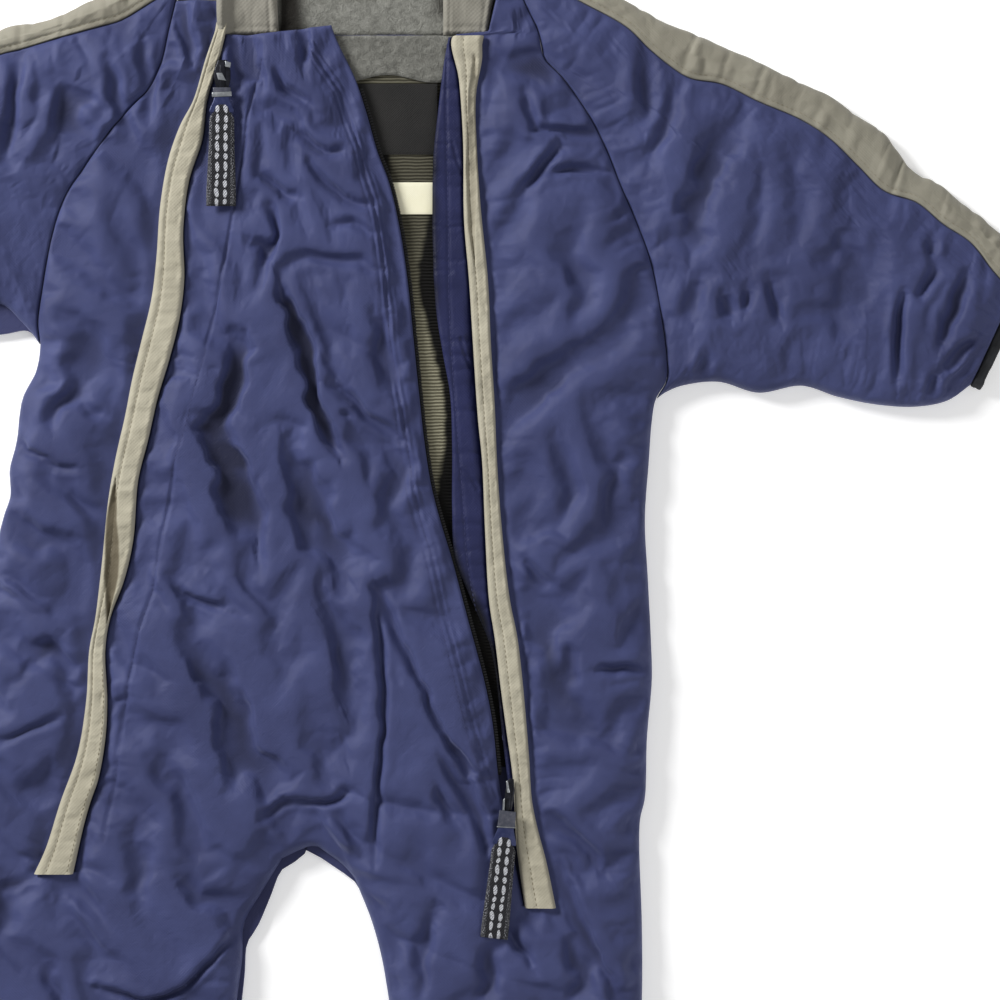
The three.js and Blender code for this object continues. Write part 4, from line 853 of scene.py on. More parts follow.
def grain(tree, vector, scale, detail, roughness=0.5, distortion=0.0, **settings):
    values = {
        "Vector": vector, "Scale": scale, "Detail": detail, "Roughness": roughness, "Distortion": distortion,
    }
    return addNode(tree, "ShaderNodeTexNoise", values, **settings).outputs


# The vector moved by a share of a noise's colour
def bent(tree, vector, noiseColour, share):
    return addNode(
        tree, "ShaderNodeVectorMath", {0: noiseColour, 1: share, 2: vector}, operation="MULTIPLY_ADD",
    ).outputs[0]


def spread(tree, value, low, high):
    values = {"Value": value, "From Min": low, "From Max": high}
    return addNode(tree, "ShaderNodeMapRange", values).outputs["Result"]


def bump(tree, height, distance, strength=1.0, **more):
    values = {"Strength": strength, "Distance": distance, "Height": height, **more}
    return addNode(tree, "ShaderNodeBump", values).outputs["Normal"]


def newGroup(name, inputs, outputs, kind="ShaderNodeTree"):
    group = bpy.data.node_groups.new(name, kind)
    for label, socket, value in inputs:
        made = group.interface.new_socket(name=label, in_out="INPUT", socket_type=socket)
        if value is not None:
            made.default_value = value
    for label, socket in outputs:
        group.interface.new_socket(name=label, in_out="OUTPUT", socket_type=socket)
    return group, group.nodes.new("NodeGroupInput").outputs, group.nodes.new("NodeGroupOutput")


def sendOut(group, out, **sockets):
    for label, socket in sockets.items():
        group.links.new(socket, out.inputs[label])
    return group


# Creases too fine for the mesh: a height, and a patchy shade
def makeCrinkle():
    group, given, out = newGroup(
        "clothCrinkle",
        [
            ("Vector", "NodeSocketVector", None), ("Size", "NodeSocketFloat", 60.0),
            ("Fine", "NodeSocketFloat", 260.0),
        ],
        [("Height", "NodeSocketFloat"), ("Shade", "NodeSocketFloat")],
    )
    vector = given["Vector"]
    moved = bent(group, vector, grain(group, vector, 18.0, 2.0)["Color"], (0.03, 0.03, 0.0))
    broad = grain(group, moved, given["Size"], 4.0, 0.55, 0.6, noise_type="RIDGED_MULTIFRACTAL")["Fac"]
    fine = grain(group, vector, given["Fine"], 4.0, 0.6, 0.8)["Fac"]
    return sendOut(
        group, out, Height=maths(group, "MULTIPLY_ADD", fine, 0.35, maths(group, "MULTIPLY", broad, 0.5)),
        Shade=spread(group, grain(group, vector, 34.0, 5.0, 0.62)["Fac"], 0.3, 0.7),
    )


# Threads that cross at right angles, a little uneven
def makeWeave():
    group, given, out = newGroup(
        "threadWeave",
        [("Vector", "NodeSocketVector", None), ("Threads", "NodeSocketFloat", 2200.0)],
        [("Height", "NodeSocketFloat")],
    )
    apart = addNode(group, "ShaderNodeSeparateXYZ", {0: given["Vector"]})
    waves = [
        maths(group, "SINE", maths(group, "MULTIPLY", apart.outputs[axis], given["Threads"]))
        for axis in ("X", "Y")
    ]
    uneven = grain(group, given["Vector"], 900.0, 2.0)["Fac"]
    return sendOut(
        group, out, Height=maths(group, "MULTIPLY_ADD", maths(group, "MULTIPLY", *waves), 0.5, uneven),
    )


# Ribs across the piece, with the yarn's uneven edge
def makeRibs():
    group, given, out = newGroup(
        "knitRibs",
        [("Vector", "NodeSocketVector", None), ("Ribs", "NodeSocketFloat", 190.0)],
        [("Height", "NodeSocketFloat"), ("Lit", "NodeSocketFloat")],
    )
    vector = given["Vector"]
    moved = bent(group, vector, grain(group, vector, 140.0, 3.0, 0.6)["Color"], (0.0, 0.0011, 0.0))
    wave = addNode(
        group, "ShaderNodeTexWave", {"Vector": moved, "Scale": given["Ribs"], "Distortion": 0.0},
        wave_type="BANDS", bands_direction="Y", wave_profile="SIN",
    ).outputs["Fac"]
    loops = grain(group, vector, 1500.0, 2.0)["Fac"]
    return sendOut(group, out, Height=maths(group, "MULTIPLY_ADD", loops, 0.4, wave), Lit=wave)


crinkle, weave, ribs = makeCrinkle(), makeWeave(), makeRibs()


def colourRow(colour):
    return (*colour, 1.0)


def baseMaterial(name, roughness, sheen=0.0, sheenTint=(1, 1, 1), metallic=0.0, specular=0.5):
    material = bpy.data.materials.new(name)
    material.use_nodes = True
    tree = material.node_tree
    shader = tree.nodes["Principled BSDF"]
    for label, value in (
        ("Roughness", roughness), ("Metallic", metallic), ("Specular IOR Level", specular),
        ("Sheen Weight", sheen), ("Sheen Roughness", 0.45), ("Sheen Tint", colourRow(sheenTint)),
    ):
        shader.inputs[label].default_value = value
    return material, tree, shader, addNode(tree, "ShaderNodeTexCoord").outputs


def mixShades(tree, dark, light, factor):
    values = {0: factor, 6: colourRow(dark), 7: colourRow(light)}
    return addNode(tree, "ShaderNodeMix", values, data_type="RGBA").outputs[2]


def surfaced(material, tree, shader, colour, normal):
    tree.links.new(colour, shader.inputs["Base Color"])
    tree.links.new(normal, shader.inputs["Normal"])
    return material


# Woven cloth: two near shades, fine creases and threads
def wovenCloth(
    name, dark, light, roughness=0.55, sheen=0.2, creaseDepth=0.0011, threadDepth=0.00009, size=42.0,
    threads=4200.0, tint=(1, 1, 1), specular=0.3,
):
    material, tree, shader, coordinates = baseMaterial(name, roughness, sheen, tint, specular=specular)
    source = coordinates["Object"]
    creased = addNode(tree, "ShaderNodeGroup", node_tree=crinkle)
    creased.inputs["Size"].default_value = size
    tree.links.new(source, creased.inputs["Vector"])
    threaded = addNode(tree, "ShaderNodeGroup", node_tree=weave)
    threaded.inputs["Threads"].default_value = threads
    tree.links.new(source, threaded.inputs["Vector"])
    threadNormal = bump(tree, threaded.outputs["Height"], threadDepth)
    return surfaced(
        material, tree, shader, mixShades(tree, dark, light, creased.outputs["Shade"]),
        bump(tree, creased.outputs["Height"], creaseDepth, Normal=threadNormal),
    )


# Another colour where a mesh's "inner" attribute is 1: painted shade on most pieces, and on the flaps their
# darker underside together with painted shade in the twist
def shadeAndUndersideTint(material, colour):
    tree = material.node_tree
    shader = tree.nodes["Principled BSDF"]
    before = shader.inputs["Base Color"].links[0].from_socket
    mask = addNode(tree, "ShaderNodeAttribute", attribute_name="inner")
    mixed = addNode(
        tree, "ShaderNodeMix", {0: mask.outputs["Fac"], 6: before, 7: colourRow(colour)}, data_type="RGBA",
    )
    tree.links.new(mixed.outputs[2], shader.inputs["Base Color"])
    return material


# Short pile: clumps and single hairs
def pileCloth(name, dark, light, depth=0.0012):
    material, tree, shader, coordinates = baseMaterial(name, 0.95, 0.3, specular=0.15)
    clumps = grain(tree, coordinates["Object"], 260.0, 4.0, 0.7, 1.2)["Fac"]
    hairs = grain(tree, coordinates["Object"], 1500.0, 3.0, 0.7)["Fac"]
    total = maths(tree, "MULTIPLY_ADD", hairs, 0.45, clumps)
    shades = mixShades(tree, dark, light, spread(tree, total, 0.45, 0.95))
    return surfaced(material, tree, shader, shades, bump(tree, total, depth))


def knitCloth(name, dark, light):
    material, tree, shader, coordinates = baseMaterial(name, 0.9, 0.2, specular=0.2)
    ribbed = addNode(tree, "ShaderNodeGroup", node_tree=ribs)
    tree.links.new(coordinates["Object"], ribbed.inputs["Vector"])
    # painted light: rib tops in the light colour, grooves in the dark one
    shades = mixShades(tree, dark, light, ribbed.outputs["Lit"])
    return surfaced(material, tree, shader, shades, bump(tree, ribbed.outputs["Height"], 0.0005))


# Painted or bare metal and moulded parts, with a faint wear
def hardFinish(name, dark, light, roughness, metallic):
    material, tree, shader, coordinates = baseMaterial(name, roughness, metallic=metallic)
    wear = grain(tree, coordinates["Object"], 420.0, 5.0, 0.65)["Fac"]
    shades = mixShades(tree, dark, light, spread(tree, wear, 0.45, 0.75))
    return surfaced(material, tree, shader, shades, bump(tree, wear, 0.0001, 0.6))


# The webbing's dashes, in metres on its own UV map
dashes = {
    "aside": 0.0021, "halfWide": 0.00105, "spacing": 0.0047, "halfLong": 0.43, "wander": 0.006, "edge": 0.0047,
    "dark": (0.007, 0.007, 0.012), "light": (0.62, 0.63, 0.68), "depth": 0.0004,
}


# Black webbing with two columns of white dashes
def dashedWebbing(name):
    material, tree, shader, coordinates = baseMaterial(name, 0.8, 0.1)
    apart = addNode(tree, "ShaderNodeSeparateXYZ", {0: coordinates["UV"]})

    def of(operation, *values):
        return maths(tree, operation, *values)

    across, along = apart.outputs["X"], apart.outputs["Y"]
    wander = grain(tree, coordinates["UV"], 130.0, 1.0)["Fac"]
    moved = of("MULTIPLY", of("SUBTRACT", wander, 0.5), dashes["wander"])
    aside = of("ABSOLUTE", of("ADD", across, of("MULTIPLY", moved, 0.25)))
    fromColumn = of("DIVIDE", of("SUBTRACT", aside, dashes["aside"]), dashes["halfWide"])
    row = of("FRACT", of("DIVIDE", of("ADD", along, moved), dashes["spacing"]))
    fromMiddle = of("DIVIDE", of("SUBTRACT", row, 0.5), dashes["halfLong"])
    away = of("ADD", of("MULTIPLY", fromColumn, fromColumn), of("MULTIPLY", fromMiddle, fromMiddle))
    dash = of("LESS_THAN", away, 0.95)
    speckle = grain(tree, coordinates["UV"], 1900.0, 1.0)["Fac"]
    edge = of("GREATER_THAN", of("ABSOLUTE", across), dashes["edge"])
    dots = of("MULTIPLY", edge, of("GREATER_THAN", speckle, 0.56))
    wornAndGlints = of("MULTIPLY", dash, of("GREATER_THAN", speckle, 0.36))
    mask = of("MAXIMUM", of("MULTIPLY", dots, 0.45), wornAndGlints)
    lengthways, sideways = of("SINE", of("MULTIPLY", along, 4200.0)), of("SINE", of("MULTIPLY", across, 5200.0))
    knots = of("MULTIPLY", lengthways, sideways)
    height = of("ADD", knots, of("MULTIPLY", dash, 0.8))
    shades = mixShades(tree, dashes["dark"], dashes["light"], mask)
    return surfaced(material, tree, shader, shades, bump(tree, height, dashes["depth"]))


cloths = {
    "navy": ((0.035, 0.042, 0.117), (0.053, 0.064, 0.169)),
    "navyFoldShade": (0.008, 0.009, 0.026),
    "navyBack": ((0.028, 0.032, 0.095), (0.038, 0.044, 0.125)),
    # the facing's own colours are a darker copy of the navy: painted shade over the recessed facing
    "facing": ((0.014, 0.017, 0.062), (0.021, 0.025, 0.088)),
    "facingShadow": (0.0012, 0.0012, 0.002),
    "flapUndersideShade": (0.12, 0.10, 0.065),
    "fleeceShadow": (0.02, 0.018, 0.015),
    "knitShadow": (0.0035, 0.003, 0.0025),
    "flap": ((0.385, 0.355, 0.27), (0.455, 0.425, 0.33)),
    "stripe": ((0.225, 0.21, 0.165), (0.285, 0.27, 0.215)),
    "collar": ((0.225, 0.215, 0.18), (0.28, 0.265, 0.225)),
    "fleece": ((0.12, 0.12, 0.105), (0.30, 0.30, 0.27)),
    "knit": ((0.10, 0.09, 0.058), (0.42, 0.40, 0.28)),
    "black": ((0.012, 0.012, 0.012), (0.022, 0.021, 0.02)),
    "binding": ((0.012, 0.013, 0.016), (0.028, 0.03, 0.034)),
    "tag": ((0.86, 0.82, 0.58), (0.93, 0.90, 0.71)),
}
# the navy darkens to the fold colour where the "inner" mask is high: painted shade in the deep creases
navy = shadeAndUndersideTint(
    wovenCloth("navyNylon", *cloths["navy"], roughness=0.62, tint=(0.6, 0.65, 1.0), specular=0.26),
    cloths["navyFoldShade"],
)
navyBack = wovenCloth("navyNylonBack", *cloths["navyBack"], sheen=0.3, tint=(0.5, 0.55, 1.0))
# painted shade: a darker navy, going to near black deep in the opening
navyFacingShaded = shadeAndUndersideTint(
    wovenCloth("navyNylonFacingShaded", *cloths["facing"], sheen=0.1, tint=(0.5, 0.55, 1.0), specular=0.2),
    cloths["facingShadow"],
)
# the flaps' inner colour: the cloth's darker underside, together with painted shade in the twist
flapCloth = shadeAndUndersideTint(
    wovenCloth(
        "flapCotton", *cloths["flap"], roughness=0.75, sheen=0.1, creaseDepth=0.0007, size=70.0, threads=3600.0,
    ),
    cloths["flapUndersideShade"],
)
stripeCloth = wovenCloth("stripeNylon", *cloths["stripe"], roughness=0.7, sheen=0.15, creaseDepth=0.0009)
collarCloth = wovenCloth(
    "collarNylon", *cloths["collar"], roughness=0.75, sheen=0.15, creaseDepth=0.0008, threads=3000.0,
)
# painted shadow on the fleece: near black where the "inner" mask is 1
fleece = shadeAndUndersideTint(pileCloth("greyFleece", *cloths["fleece"]), cloths["fleeceShadow"])
# painted shade on the knit: near black where the "inner" mask is 1
knit = shadeAndUndersideTint(knitCloth("ribbedKnit", *cloths["knit"]), cloths["knitShadow"])
blackTape = wovenCloth(
    "blackTape", *cloths["black"], roughness=0.8, sheen=0.05, creaseDepth=0.0002, threadDepth=0.0002,
    threads=5200.0,
)
binding = wovenCloth("blackBinding", *cloths["binding"], roughness=0.7, sheen=0.1, creaseDepth=0.0006)
tagCloth = wovenCloth("creamTag", *cloths["tag"], roughness=0.8, sheen=0.05, creaseDepth=0.0003, threads=6000.0)
navyThread = wovenCloth("navyThread", (0.03, 0.034, 0.1), (0.045, 0.05, 0.14), roughness=0.7)
taupeThread = wovenCloth("taupeThread", (0.16, 0.14, 0.09), (0.24, 0.21, 0.15), roughness=0.8)
blackPlastic = hardFinish("zipTeeth", (0.01, 0.01, 0.012), (0.03, 0.03, 0.035), 0.35, 0.0)
paintedMetal = hardFinish("paintedPull", (0.022, 0.03, 0.095), (0.05, 0.06, 0.15), 0.32, 0.3)
darkMetal = hardFinish("darkSlider", (0.012, 0.013, 0.018), (0.03, 0.032, 0.045), 0.3, 0.6)
greyMetal = hardFinish("greyPull", (0.07, 0.075, 0.1), (0.14, 0.14, 0.17), 0.4, 0.4)
paleMetal = hardFinish("sliderMetal", (0.34, 0.36, 0.38), (0.62, 0.64, 0.66), 0.3, 0.8)
webbing = dashedWebbing("dashedWebbing")
print("materials are made")


# ---- fronts
# the gap between two pieces, how far the legs' fronts lap the body's, and the ends of seams, in millimetres
halfGap, lapped = 0.2, 0.7
neckY = 283.2
legTopY = {"left": -137, "right": -154}
ankleY = {"left": -318, "right": -321}
sleeveTopY = {"left": 306, "right": 317.5}
panelSpacing = 1.15


def declare(piece, body, slot, *nodes):
    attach(piece, body)
    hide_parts(*nodes)


# A sheet that lies on the garment, with its cut and area as measured on its own surface
def declareLaid(piece, *nodes, slot, on, held="laid", wide=None, long=None):
    declare(piece, "garment", slot, *nodes)
    wide = wide or piece["clothWide"]
    long = long or piece["clothLong"]
    area = piece["clothArea"] * 0.97
    area = min(max(area, 0.3 * wide * long), wide * long)
    print(f"{piece.name}: cut {wide * 1000:.0f} x {long * 1000:.0f} mm, {area * 1e4:.0f} cm2")


def column(line, gap=0.0):
    return lambda y: xAt(line, y) + gap


planPanel(
    "frontLeft",
    levelGrid(
        levelsOf(legTopY["left"], 300, panelSpacing), column(sideLeft, halfGap), column(leftFlapInner, -halfGap),
        panelSpacing,
    ),
    20, ("bottom",), turn=2.3, calm=lambda grid: xAt(leftFlapOuter, grid[..., 1]) - 2 - grid[..., 0],
)


# the cloth under the two pulls stays down
def awayFromPulls(x, y):
    far = []
    for points in (((221, 60), (220, 215)), ((508, 780), (495, 942))):
        (ax, ay), (bx, by) = (fromPhoto(*point) for point in points)
        share = np.clip(((x - ax) * (bx - ax) + (y - ay) * (by - ay)) / ((bx - ax) ** 2 + (by - ay) ** 2), 0, 1)
        far.append(np.hypot(x - ax - share * (bx - ax), y - ay - share * (by - ay)) - 7)
    return np.minimum(*far)


def rightInner(y):
    return xAt(rightFlapInner, y) + np.maximum(0, y - 284.4) * 0.24 + halfGap


planPanel(
    "frontRight",
    levelGrid(
        levelsOf(legTopY["right"], sleeveTopY["right"], panelSpacing), rightInner, column(sideRight, -halfGap),
        panelSpacing,
    ),
    20, ("bottom",), turn=0.75, push=0.75,
    calm=lambda grid: grid[..., 0] - xAt(rightFlapOuter, grid[..., 1]) - 2,
)
leftJoin = [(xAt(leftFlapInner, legTopY["left"]), legTopY["left"]), (-90, -133.8), (-38.6, -130)]
rightJoin = [(-2, -139.9), (40, -147), (xAt(centreEdge, -153.9), legTopY["right"])]
neckCorner = (-13.4, 287.6)
planPanel(
    "frontCentre",
    fourSided(
        np.vstack([leftJoin[:2], crotch, rightJoin[1:]]),
        np.array([
            (xAt(leftFlapInner, neckY) + halfGap, neckY), (-56, 282.6), (-46, 283.2), (-31, 285.2), (-24, 286.4),
            neckCorner,
        ]),
        shifted(stretch(leftFlapInner, neckY, legTopY["left"])[::-1], halfGap),
        np.vstack([stretch(centreEdge, neckY, legTopY["right"])[::-1], [neckCorner]]), panelSpacing,
    ),
    20, ("bottom",), turn=1.8,
    calm=lambda grid: np.minimum(
        awayFromPulls(grid[..., 0], grid[..., 1]), 3 + xAt(centreEdge, grid[..., 1]) - grid[..., 0],
    ),
)
leftSide = shifted(stretch(sideLeft, legTopY["left"], ankleY["left"])[::-1], halfGap)
planPanel(
    "legLeft",
    fourSided(
        [leftSide[0], innerLeftFront[-1]],
        shifted([leftSide[-1], *leftJoin[:2], innerLeftFront[0]], 0, lapped),
        np.vstack([leftSide, shifted(leftSide[-1:], 0, lapped)]),
        np.vstack([innerLeftFront[::-1], shifted(innerLeftFront[:1], 0, lapped)]), panelSpacing,
    ),
    20, ("top",), turn=2.2,
)
rightSide = shifted(stretch(sideRight, legTopY["right"], ankleY["right"])[::-1], -halfGap)
planPanel(
    "legRight",
    fourSided(
        [innerRight[-1], rightSide[0]], shifted([innerRight[0], *rightJoin[1:], rightSide[-1]], 0, lapped),
        np.vstack([innerRight[::-1], shifted(innerRight[:1], 0, lapped)]),
        np.vstack([rightSide, shifted(rightSide[-1:], 0, lapped)]), panelSpacing,
    ),
    20, ("top",), turn=0.9, push=0.75, calm=lambda grid: awayFromPulls(grid[..., 0], grid[..., 1]),
)


def sleeveLines(side):
    sideLine, lowerLine, under, cuffLine, sign = (
        (sideLeft, stripeLowerLeft, underarmLeftFront, cuffLeft, -1) if side == "left"
        else (sideRight, stripeLowerRight, underarmRight, cuffRight, 1)
    )
    frontSeam = offset(stretch(sideLine, sleeveTopY[side], armpits[side])[::-1], -sign * 0.3)
    lower = offset(lowerLine, -sign * 0.3)
    lower[0] = frontSeam[-1]
    return frontSeam, lower, under, cuffLine


for side, seed in (("left", 120), ("right", 140)):
    frontSeam, lower, under, cuffLine = sleeveLines(side)
    planPanel(
        "sleeve" + side.title() + "Front",
        fourSided(
            np.vstack([frontSeam[:1], under[8:]]), lower, frontSeam, [cuffLine[0], lower[-1]], panelSpacing,
        ),
        seed, turn=2.1 if side == "left" else 1.0, push=0.2, crumple=0.42,
    )
simulateFronts()
panels = {
    name: frontPanel(name, navy) for name in ("frontLeft", "frontRight", "frontCentre", "legLeft", "legRight")
}
for name, node, on in (
    ("frontLeft", "front_left", ["back_left"]), ("frontRight", "front_right", ["back_right"]),
    ("frontCentre", "front_centre", ["back_left", "back_right"]), ("legLeft", "leg_left_front", ["back_left"]),
    ("legRight", "leg_right_front", ["back_right"]),
):
    declareLaid(panels[name], node, slot="navy_cloth", on=on)
print("fronts are made")


# ---- sleeves: a front, a back, and a stripe folded over the top of the arm
# The last ring joins the first one, or both ends are closed by a face.
def ringed(name, rings, material, uvRings, endless=False):
    points = np.array(rings).reshape(-1, 3)
    at = np.arange(len(points)).reshape(len(rings), -1)
    if endless:
        at = np.vstack([at, at[:1]])
    nextOne = np.roll(at, -1, axis=1)
    faces = np.stack([at[:-1], nextOne[:-1], nextOne[1:], at[1:]], axis=-1).reshape(-1, 4).tolist()
    if not endless:
        faces += [at[0][::-1].tolist(), at[-1].tolist()]
    piece = makeObject(name, points, faces, material, np.array(uvRings).reshape(-1, 2))
    volume = sum(
        Vector(points[f[0]]).dot(Vector(points[f[i]]).cross(Vector(points[f[i + 1]])))
        for f in faces for i in range(1, len(f) - 1)
    )
    if volume < 0:
        piece.data.flip_normals()
    return piece


stripeForm = {"back": 0.45, "across": 26, "pucker": 0.5}
# folds across the stripe: where they meet its lower edge in the photograph, and how deep
stripeFolds = {
    "left": (((20, 42), 0.9), ((60, 26), 0.8), ((105, 12), 0.7)),
    "right": (
        ((682, 72), 1.3), ((720, 74), 0.8), ((757, 90), 1.0), ((798, 104), 0.6), ((819, 118), 0.7),
        ((879, 172), 0.9), ((895, 182), 1.4), ((950, 205), 0.8),
    ),
}
# the stripe's turn at the arm's top and its tucked-in end: share of the way across, and height
stripeTurn = ((1.0, 5.0), (1.003, 3.6), (0.99, 2.2), (0.965, 1.1), (0.93, 0.35), (0.86, 0.0))
stripeEnd = ((0.45, 3.9), (0.6, 3.9), (0.74, 3.9), (0.74, 4.4), (0.6, 4.6))


def stripe(name, lower, upper, seed, folds):
    count = steps(lengthOf(lower), panelSpacing * 1.1) + 1
    a, b = evenly(lower, count), evenly(upper, count)
    share = np.linspace(0, 1, stripeForm["across"]) ** 0.9

    def across(end):
        return a[:, None] * (1 - share[None, :, None]) + end[:, None] * share[None, :, None]

    tops = frontHeights(*np.moveaxis(across(b), 2, 0), 1.0, seed)
    # the free edge is a little scalloped
    run = runOf(a)
    scallop = 0.9 * np.abs(noise(run, run * 0, 8, seed + 7)) - 0.4
    b = b + (b - a) / np.maximum(np.hypot(*(b - a).T), 0.1)[:, None] * scallop[:, None]
    grid = across(b)
    wave = ridges(run[:, None] + share * 4, share * 10 + run[:, None] * 0.02, 6.5, seed + 2)
    tops = tops + stripeForm["pucker"] * wave * np.sin(np.pi * np.clip(share, 0.05, 1)) ** 0.5
    wide = np.hypot(*(b - a).T)
    fromHem = share * wide[:, None]
    tops = tops - 0.6 * bell(fromHem - 2.6, 0.5)
    fine = np.abs(noise(run[:, None] + fromHem * 0.6, fromHem, 2.7, seed + 3))
    tops = tops + 0.5 * fine * bell(fromHem - 2.2, 2.6)
    for point, deep in folds:
        at = run[np.argmin(np.hypot(*(a - fromPhoto(*point)).T))]
        slant = (run[:, None] - at) + share * 1.5
        tops = tops - deep * bell(slant, 1.0) * (0.35 + 0.65 * share) + deep * 0.4 * bell(slant - 3, 2.0)
    rings, uvs = [], []
    for j in range(count):
        ring = [(*grid[j, i], tops[j, i]) for i in range(len(share) - 1)]
        uv = [(run[j], share[i] * wide[j]) for i in range(len(share) - 1)]
        back = [(s, 0.0) for s in np.linspace(0.78, stripeForm["back"], 6)]
        for s, z in (*stripeTurn, *back, *stripeEnd):
            ring.append((*(a[j] * (1 - s) + b[j] * s), z))
            uv.append((run[j], (1 + (1 - s)) * wide[j]))
        for s in (0.3, 0.0):
            i = int(round(s * (len(share) - 1)))
            ring.append((*(a[j] * (1 - share[i]) + b[j] * share[i]), max(tops[j, i] - 3.6, 4.5)))
            uv.append((run[j], share[i] * wide[j]))
        rings.append(ring)
        uvs.append(uv)
    piece = ringed(name, rings, stripeCloth, uvs)
    piece["clothWide"] = float(wide.max() * 1.6 * mm)
    piece["clothLong"] = float(run[-1] * mm)
    piece["clothArea"] = float((wide.mean() * 1.56) * run[-1] * mm * mm)
    return piece


backTop = 3.9


# The backs' lower face turns up a little at the outline
def backUnder(x, y, top):
    outline, _, _ = nearest(x, y, outlines, 20)
    return 1.6 * (1 - np.sqrt(1 - np.clip(1 - outline / 4, 0, 1) ** 2))


def sleeve(side, lowerLine, upperLine, underBack, sign, seed):
    frontSeam, _, _, cuffLine = sleeveLines(side)
    front = frontPanel("sleeve" + side.title() + "Front", navy)
    declareLaid(front, f"sleeve_{side}_front", slot="navy_cloth", on=[f"sleeve_{side}_back"])
    fold = offset(lowerLine * (1 - stripeForm["back"]) + upperLine * stripeForm["back"], -sign * 0.3)
    back = shell(
        "sleeve" + side.title() + "Back",
        fourSided(
            np.vstack([frontSeam[:1], underBack[8:]]), fold, np.vstack([frontSeam, fold[:1]]),
            [cuffLine[0], fold[-1]], 3.0,
        ),
        backTop, backUnder, navyBack, coarse=1,
    )
    declareLaid(back, f"sleeve_{side}_back", slot="navy_back_cloth", on=[])
    band = stripe("sleeveStripe" + side.title(), lowerLine, upperLine, seed + 5, stripeFolds[side])
    declareLaid(band, f"sleeve_stripe_{side}", slot="grey_stripe", on=[f"sleeve_{side}_back"], held="folded")
    return band


stripeLeft = sleeve("left", stripeLowerLeft, stripeUpperLeft, underarmLeft, -1, 120)
stripeRight = sleeve("right", stripeLowerRight, stripeUpperRight, underarmRight, 1, 140)
print("sleeves are made")

# ---- back, in two halves
for side, left, right in (("left", sideLeft, backInnerLeft), ("right", backInnerRight, sideRight)):
    grid = levelGrid(levelsOf(ankleY[side], 284, 4), column(left, halfGap), column(right, -halfGap), 4)
    back = shell("back" + side.title(), grid, backTop, backUnder, navyBack, coarse=1)
    declareLaid(back, "back_" + side, slot="navy_back_cloth", on=[])

# ---- flaps over the zips: a fold of cloth with a ridge, a stitched groove and a rounded free edge
flapForm = {"thick": 2.6, "edge": 0.16, "groove": 0.5, "pucker": 0.45, "lift": 0.3, "ceiling": 19.4}


# A strip's own level over the fronts: the mean across it, evened out along it
def levelAlong(x, y, seed, window):
    kernel = np.hanning(window) / np.hanning(window).sum()
    middle = np.pad(frontHeights(x, y, 0.6, seed).mean(axis=1), window // 2, mode="edge")
    return np.repeat(np.convolve(middle, kernel, "valid")[:, None], x.shape[1], axis=1)


def flapStrip(name, left, right, low, high, groove, seed, twist, node, rest):
    grid = levelGrid(levelsOf(low, high, 1.1), column(left), column(right), 0.75)
    share = np.linspace(0, 1, grid.shape[1])[None]
    x, y = grid[..., 0], grid[..., 1]
    base = levelAlong(x, y, seed, 15)
    rim = np.sqrt(1 - np.clip(1 - np.minimum(share, 1 - share) / flapForm["edge"], 0, 1) ** 2)
    wave = noise(y, share * 6, 5.5, seed + 1)
    fine = ridges(y, share * 5, 2.6, seed + 2)
    body = flapForm["thick"] + flapForm["pucker"] * (wave + 0.6 * fine) * (0.5 + share)
    body = body - flapForm["groove"] * bell(share - groove, 0.05)
    half = np.interp(y, *twist["half"])
    away = (x - np.interp(y, *twist["middle"])) / np.maximum(half, 0.01)
    # inner: the darker underside where the flap is twisted open, together with painted shade in the twist
    inner = np.clip((1.15 - np.abs(away)) * 3, 0, 1) * (half > 0.15) * twist["shade"]
    body = body - twist["deep"] * np.clip(1 - away ** 2, 0, 1) ** 0.7 * (half > 0.15)
    heights = base + flapForm["lift"] + body * rim * smooth((288.5 - y) / 7)
    piece = shell(
        name, grid, np.minimum(heights, flapForm["ceiling"]),
        lambda gx, gy, top: np.minimum(base[::4, ::4] + flapForm["lift"], top - 0.25), flapCloth, inner=inner,
    )
    declareLaid(
        piece, node, slot="grey_flap", on=[rest], held="folded", wide=piece["clothWide"] * 2,
        long=piece["clothLong"],
    )
    return piece


# where each flap is twisted open: its middle and half width along y, how deep it goes, and how strongly its
# darker underside and the painted shade in the twist show
leftTwist = {
    "middle": ([-12, 5, 20, 40, 62], [-125.5, -123.5, -122.6, -123.2, -121]),
    "half": ([-12, 0, 12, 30, 45, 62], [0, 1.8, 3.6, 3.6, 2.4, 0]),
    "deep": 1.7, "shade": 1.0,
}
flapLeft = flapStrip(
    "flapLeft", leftFlapOuter, leftFlapInner, legTopY["left"], 289, 0.3, 160, leftTwist, "flap_left",
    "front_left",
)
rightTwist = {
    "middle": ([165, 185, 215, 262, 275], [58.5, 57, 57, 58.5, 58]),
    "half": ([165, 185, 215, 255, 275], [0, 1.6, 3.0, 3.0, 0]),
    "deep": 1.1, "shade": 0.35,
}
flapRight = flapStrip(
    "flapRight", rightFlapInner, rightFlapOuter, legTopY["right"], 282, 0.38, 180, rightTwist, "flap_right",
    "front_right",
)

# ---- the open zip: facing, tape and teeth
facingForm = {"drop": 2.2, "thick": 2.2, "pucker": 0.5}
facingStitch = photoLine(
    (447, 38), (446, 110), (448, 200), (449, 300), (452, 360), (458, 440), (463, 500), (467, 560), (478, 620),
    (492, 680), (503, 740),
)
facingFolds = [
    photoLine(*points) for points in (
        ((434, 143), (443, 144), (452, 142)), ((434, 225), (448, 227), (463, 225)),
        ((434, 258), (448, 261), (464, 260)), ((434, 271), (444, 270), (452, 272)),
        ((453, 143), (457, 160), (465, 178)), ((461, 338), (466, 357), (474, 373)),
        ((462, 470), (470, 476), (478, 490)),
    )
]


# Painted shadow: dark deep in the opening, light where it comes to the front
def facingShade(x, y):
    edge = np.interp(y, [-32, 0, 20, 40, 70], [74, 61, 52, 46, 40])
    return smooth((edge - x + 2 + noise(x, y, 9, 205)) / 6)


